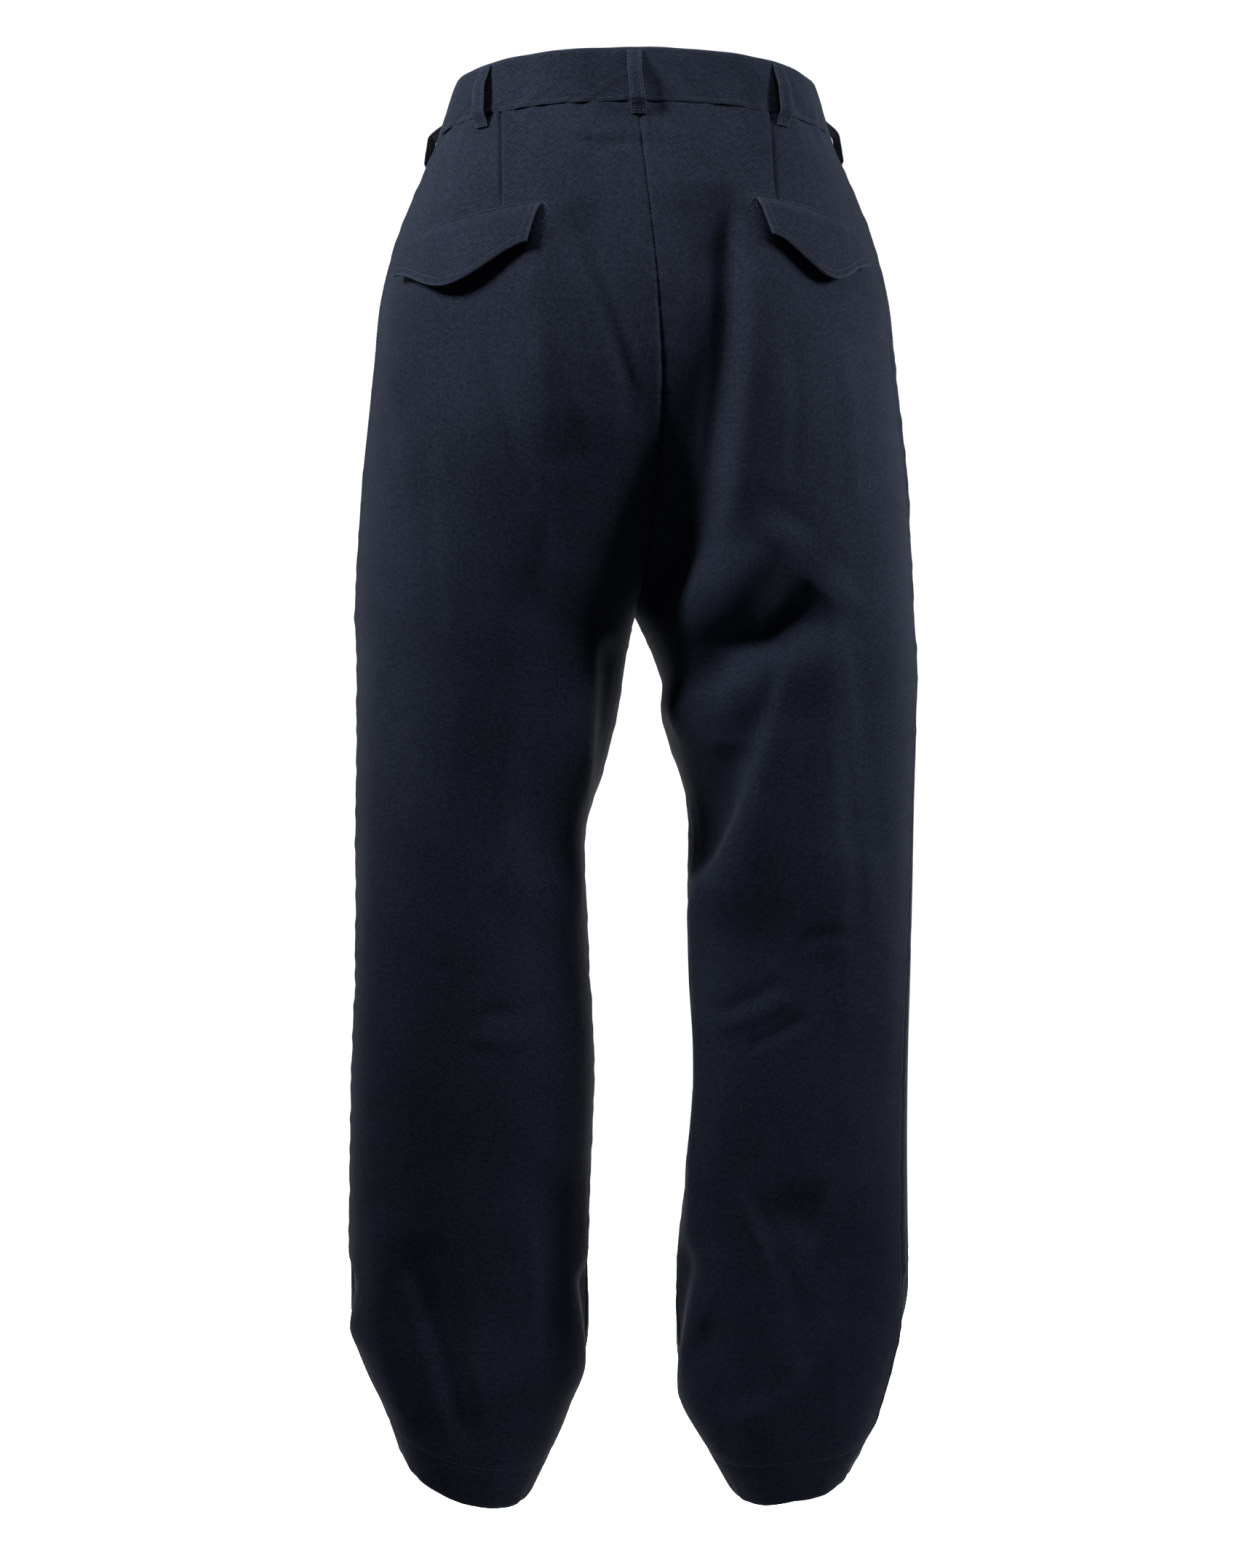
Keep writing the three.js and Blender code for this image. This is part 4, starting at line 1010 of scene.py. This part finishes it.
def flap_drop(along):
    tip = FLAP["point_at"]
    to_point = np.where(along < tip, along / tip, (1 - along) / (1 - tip))
    return FLAP["side_drop"] + (FLAP["point_drop"] - FLAP["side_drop"]) * smooth(0, 1, to_point)


def flap_lift(leg_name, along, below):
    inner, outer = FLAP["stand_off"], FLAPS[leg_name]["outer_lift"]
    hang = (inner + (outer - inner) * along) * (below / FLAP["point_drop"]) ** 1.2
    return LAID_GAP + FLAP["turn"] * smooth(0, 8, below) + hang + 2.2


def pocket_flap(leg_name, stitching):
    f = FLAPS[leg_name]
    along = (edge_spaced(56, 100, 3, (0, 0.6, 1.3, 2.2)) / 100)[None, :]
    down = (edge_spaced(30, 100, 6, (0, 1.2, 2.6, 4.2)) / 100)[:, None]
    drop = flap_drop(along)
    below = drop * down
    to_side = np.minimum(along, 1 - along) * f["width"]
    to_bottom = drop - below
    edge = np.minimum(to_side, to_bottom)
    height = -0.7 * peak(edge, 1.0) - 0.3 * peak(edge - 5, 0.9)
    height = height - 0.6 * peak(below, 1.2)
    height = height + 0.25 * wobble(along * f["width"] + 0.3 * below, 4 if leg_name == "left" else 9, 30)
    points, normals = flap_points(leg_name, along, below, flap_lift(leg_name, along, below) + height)
    uv = np.stack(np.broadcast_arrays(f["start"] + f["width"] * along, -below - 115), axis=-1)
    wear = 0.55 * peak(edge, 1.3)
    sheet(f"pocket_flap_{leg_name}", points, normals, FLAP["wall"], uv, wear,
          TWILL_STIFF)
    # the stitched outline, a little in from the sides and the blunt point
    up = FLAP["stitch_inset"]
    inset = up / f["width"]
    span = np.linspace(inset, 1 - inset, 60)
    outline = [(np.full(12, inset), np.linspace(2, flap_drop(inset) - up, 12)), (span, flap_drop(span) - up),
               (np.full(12, 1 - inset), np.linspace(flap_drop(1 - inset) - up, 2, 12))]
    for a, b in outline:
        on, out = flap_points(leg_name, a, b, flap_lift(leg_name, a, b))
        stitching.run([f"pocket_flap_{leg_name}"], on, out)


def pocket_welt(leg_name):
    along = (edge_spaced(50, 100, 4, (0, 1.0, 2.2)) / 100)[None, :]
    down = np.linspace(7, 15, 9)[:, None]
    points, normals = flap_points(leg_name, lerp(0.04, 0.96, along), down, LAID_GAP + 1.2)
    height = -0.3 * peak(np.minimum(down - 7, 15 - down), 0.7) + 0 * along
    points = points + normals * height[..., None]
    uv = np.stack(np.broadcast_arrays(100 * along, -down), axis=-1)
    sheet(f"pocket_welt_{leg_name}", points, normals, 1.0, uv, 0.0,
          material=TWILL_STIFF)


# The fly's lap on the wearer's left
FLY = {"inner": 5, "outer": -37, "bottom": -214, "curve": 44, "wall": 1.5}


def fly_outer(level, inset=0.0):
    past = np.clip((FLY["bottom"] + inset + FLY["curve"] - level) / FLY["curve"], 0, 0.98)
    return FLY["inner"] + (FLY["outer"] + inset - FLY["inner"]) * np.sqrt(1 - past**2)


def fly_lap(stitching):
    top = -BAND_HEIGHT
    levels = lerp(top, FLY["bottom"], edge_spaced(54, 100, 2, (0, 0.8)) / 100)[:, None]
    across = (edge_spaced(20, 42, 4, (0, 0.7, 1.5, 2.6)) / 42)[None, :]
    outer = fly_outer(levels)
    place = lerp(outer, FLY["inner"], across)
    to_edge = np.minimum(place - outer, FLY["inner"] - place)
    height = -0.6 * peak(to_edge, 1.0) - 0.25 * peak(place - outer - 4, 0.9)
    level = np.broadcast_to(levels, place.shape)
    points, normals = band_points(place, level, LAID_GAP + FLY["wall"] + height)
    uv = np.stack(np.broadcast_arrays(place, levels), axis=-1)
    wear = 0.35 * peak(to_edge, 1.4)
    sheet("fly_lap", points, normals, FLY["wall"], uv, wear)
    run = np.linspace(top - 2, FLY["bottom"] + 5, 120)
    on, out = band_points(fly_outer(run, 4.0), run, LAID_GAP + FLY["wall"])
    stitching.run(["fly_lap"], on, out)


# The waist button, with a raised rim, four holes and its thread
BUTTON_PLACE = 24
BUTTON_LEVEL = -20.5
BUTTON_RADIUS = 9
BUTTON_SIDES = 120
BUTTON_HEIGHT = 3.4
HOLE_AT = 2.0
HOLE_RADIUS = 0.85


def button_height(radius, angle):
    """The height of the button's face above its back."""
    height = BUTTON_HEIGHT - 0.9 * (1 - smooth(6.2, 7.6, radius)) - 0.9 * smooth(8.0, 9.0, radius) ** 2
    for turn in range(4):
        hole = math.pi / 4 + turn * math.pi / 2
        gap = np.hypot(radius * np.cos(angle) - HOLE_AT * math.cos(hole),
                       radius * np.sin(angle) - HOLE_AT * math.sin(hole))
        height = height - 1.5 * (1 - smooth(HOLE_RADIUS - 0.15, HOLE_RADIUS + 0.15, gap))
    return height


def waist_button(stitching):
    seat = BAND_PROUD + TAB_RISE + TAB_GAP
    (at,), (out,) = band_points([BUTTON_PLACE], [BUTTON_LEVEL], seat)
    up = np.array([0, 0, 1.0])
    side = np.cross(up, out)
    side /= np.linalg.norm(side)
    up = np.cross(out, side)
    radii = np.concatenate([np.linspace(0.05, 4, 28), np.linspace(4.3, BUTTON_RADIUS, 22)])
    angles = np.linspace(0, 2 * math.pi, BUTTON_SIDES, endpoint=False)
    radius, angle = np.meshgrid(radii, angles, indexing="ij")
    rings = [(radius, angle, button_height(radius, angle))]
    flat = np.ones((1, BUTTON_SIDES))
    for rim, rise in ((BUTTON_RADIUS, 1.2), (BUTTON_RADIUS - 0.6, 0.0), (0.05, 0.0)):
        rings.append((rim * flat, angles[None, :], rise * flat))
    r, a, h = (np.concatenate([ring[i] for ring in rings]) for i in range(3))
    points = (at + (r * np.cos(a))[..., None] * side + (r * np.sin(a))[..., None] * up + h[..., None] * out)
    rows, columns = r.shape
    i, j = np.meshgrid(np.arange(rows - 1), np.arange(columns), indexing="ij")
    first, on = (i * columns + j).ravel(), (i * columns + (j + 1) % columns).ravel()
    faces = np.stack([first, first + columns, on + columns, on], axis=1)
    made = piece("waist_button_round", points.reshape(-1, 3), faces, BUTTON)
    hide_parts("waist_button")
    # two bars of thread between the holes
    for offset in (-1, 1):
        for spread in (-0.35, 0.0, 0.35):
            middle = at + side * (offset * 1.42 + spread) + out * (BUTTON_HEIGHT - 0.75)
            line = np.array([middle + up * t for t in np.linspace(-1.7, 1.7, 5)])
            line[[0, -1]] -= out * 0.7
            stitching.thread(line, np.array([out] * 5), 0.32)


def buttonhole(stitching):
    """A worked slit in the lapping tab, its ends just showing past the button."""
    for edge in (-1.4, 1.4):
        for place in np.arange(11, 37, 0.9):
            on, out = band_points([place] * 2, [BUTTON_LEVEL + edge * 0.25, BUTTON_LEVEL + edge * 1.5], 0.0)
            on = on + out * tab_lift(TAB["end"])
            stitching.thread(snapped(on, out, ["waistband_left"]), out, 0.42)


# Cut sizes in metres, width and length, and the cut's area in square metres
CUTS = {
    "back": {"flat": (0.335, 1.085), "area": 0.280},
    "front": {"flat": (0.345, 1.055), "area": 0.300},
    "waistband": (0.43, 0.041),
}

seams = Stitching("topstitching")
for leg_name in LEGS:
    for panel in ("back", "front"):
        leg_panel(leg_name, panel, **CUTS[panel])
    waistband(leg_name)
for leg_name in LEGS:
    pocket_welt(leg_name)
    pocket_flap(leg_name, seams)
for row in LOOPS:
    belt_loop(row, seams)
fly_lap(seams)
waist_button(seams)
buttonhole(seams)


def stitch_band(leg_name):
    total = Ovals(leg_name, np.array([0.0, -BAND_HEIGHT])).total
    end = TAB["end"] - 3 if leg_name == "left" else TAB["underlap"] + 1
    sign = -1 if leg_name == "left" else 1
    for level, length in ((-BAND_STITCH, total[0]), (-BAND_HEIGHT + BAND_STITCH, total[1])):
        place = np.linspace(sign * (length - 2), end, 260)
        lift = tab_lift(place) if leg_name == "left" else BAND_PROUD
        on, out = band_points(place, np.full(place.shape, float(level)), lift)
        seams.run([f"waistband_{leg_name}"], on, out)


def stitch_leg(leg_name):
    leg = LEGS[leg_name]
    panels = [f"back_{leg_name}", f"front_{leg_name}"]
    level = float(leg["hem"] + HEM_STITCH)
    total = Ovals(leg_name, np.array([level])).total[0]
    seams.line(panels, leg_name, np.linspace(0.8, total - 0.8, 300), level)
    # above the pocket flap, with a small pointed tack at its inner end
    f = FLAPS[leg_name]
    along = np.linspace(-0.03, 1.03, 80)
    over = lerp(f["inner_level"], f["outer_level"], along) + 3
    seams.line(panels[:1], leg_name, f["start"] + f["width"] * along, over)
    for end, way in ((0, -1), (1, 1)):
        base = f["start"] + f["width"] * end
        middle = lerp(f["inner_level"], f["outer_level"], end)
        for a, b in (((0, 3), (6.5, -5)), ((6.5, -5), (1, -13)), ((0, 3), (0, -8))):
            t = np.linspace(0, 1, 8)
            seams.line(panels[:1], leg_name, base + way * lerp(a[0], b[0], t), middle + lerp(a[1], b[1], t))
    # the slanted side pocket: two rows along its opening, and a tack at each end
    level = np.linspace(SIDE_POCKET["top"] - 1, SIDE_POCKET["bottom"] + 1, 120)
    seam = Ovals(leg_name, level).seam
    for inset in (2.0, 6.5):
        seams.line(panels[1:], leg_name, seam + side_pocket_in(level) + inset, level)
    for level in (SIDE_POCKET["top"] - 8, SIDE_POCKET["bottom"] + 3):
        base = Ovals(leg_name, np.array([float(level)])).seam[0] + side_pocket_in(level)
        for step in (0, 0.7, 1.4):
            seams.line(panels[1:], leg_name, base + np.linspace(0.5, 9, 8), float(level) - step)


for leg_name in LEGS:
    stitch_band(leg_name)
    stitch_leg(leg_name)


def stray_thread():
    """A loose end of thread at the right hem, as wear leaves one."""
    level = LEGS["right"]["hem"] + 18.0
    base = Ovals("right", np.array([level])).seam[0] - 40
    t = np.linspace(0, 1, 14)
    distance = base + 9 * t + 2 * np.sin(5 * t)
    points, normals = skin_and_normal("right", distance, level - 9 * t + 4 * np.sin(4 * t))
    seams.thread(points + normals * (0.7 + 1.2 * np.sin(math.pi * t))[:, None], normals, 0.3)


stray_thread()
seams.build()

# The camera of the photo: at eye height for the seat, level, looking at the back
camera = bpy.data.objects.new("camera", bpy.data.cameras.new("camera"))
camera.location = (-0.0052, -2.8, -0.522)
camera.rotation_euler = (math.pi / 2, 0, 0)
camera.data.lens, camera.data.sensor_width = 85, 36
bpy.context.scene.collection.objects.link(camera)
bpy.context.scene.camera = camera


def area_light(name, place, target, size, power, spread):
    light = bpy.data.lights.new(name, "AREA")
    light.shape, light.size, light.energy, light.spread = "DISK", size, power, math.radians(spread)
    made = bpy.data.objects.new(name, light)
    made.location = place
    made.rotation_euler = (Vector(target) - Vector(place)).to_track_quat("-Z", "Y").to_euler()
    bpy.context.scene.collection.objects.link(made)


# Each light: name, place, what it faces, size, power, spread
LIGHTS = [
    ["left_soft", (-1.5, -0.65, 0.75), (0, 0, -0.08), 0.55, 8.0, 56],
    ["right_soft", (1.6, -0.5, 0.35), (0, 0, -0.30), 0.55, 7.5, 72],
    ["top_soft", (0.3, -0.6, 1.25), (0, 0, -0.2), 0.6, 1.6, 70],
    ["far_left_soft", (-2.0, 1.9, 0.5), (0, 0, -0.5), 0.8, 3, 80],
    ["far_right_soft", (2.0, 1.9, 0.5), (0, 0, -0.5), 0.8, 3, 80],
    ["floor_left", (-1.1, 2.3, 2.2), (-0.8, 2.4, -1.3), 1.6, 190, 64],
    ["floor_right", (1.1, 2.3, 2.2), (0.8, 2.4, -1.3), 1.6, 190, 64],
]
for row in LIGHTS:
    area_light(*row)

# Dim surroundings that brighten to white beyond the front of the trousers, by world direction
world = bpy.data.worlds.new("pale_surroundings")
world.use_nodes = True
nodes, links = world.node_tree.nodes, world.node_tree.links
direction = nodes.new("ShaderNodeTexCoord")
parts = nodes.new("ShaderNodeSeparateXYZ")
links.new(direction.outputs["Generated"], parts.inputs[0])
glow = nodes.new("ShaderNodeMapRange")
glow.interpolation_type = "SMOOTHSTEP"
links.new(parts.outputs["Y"], glow.inputs["Value"])
for name, value in (("From Min", 0.84), ("From Max", 0.955), ("To Min", 0.045), ("To Max", 1.05)):
    glow.inputs[name].default_value = value
nodes["Background"].inputs["Color"].default_value = (1, 1, 1, 1)
links.new(glow.outputs[0], nodes["Background"].inputs["Strength"])
bpy.context.scene.world = world
bpy.context.scene.view_settings.view_transform = "Standard"

FLOOR_LEVEL = -1.30
floor_mesh = bpy.data.meshes.new("floor")
corners = [(x, y, FLOOR_LEVEL) for x, y in ((-4, -4), (4, -4), (4, 3.4), (-4, 3.4))]
floor_mesh.from_pydata(corners, [], [(0, 1, 2, 3)])
floor_mesh.materials.append(floor_material())
floor = bpy.data.objects.new("floor", floor_mesh)
bpy.context.scene.collection.objects.link(floor)
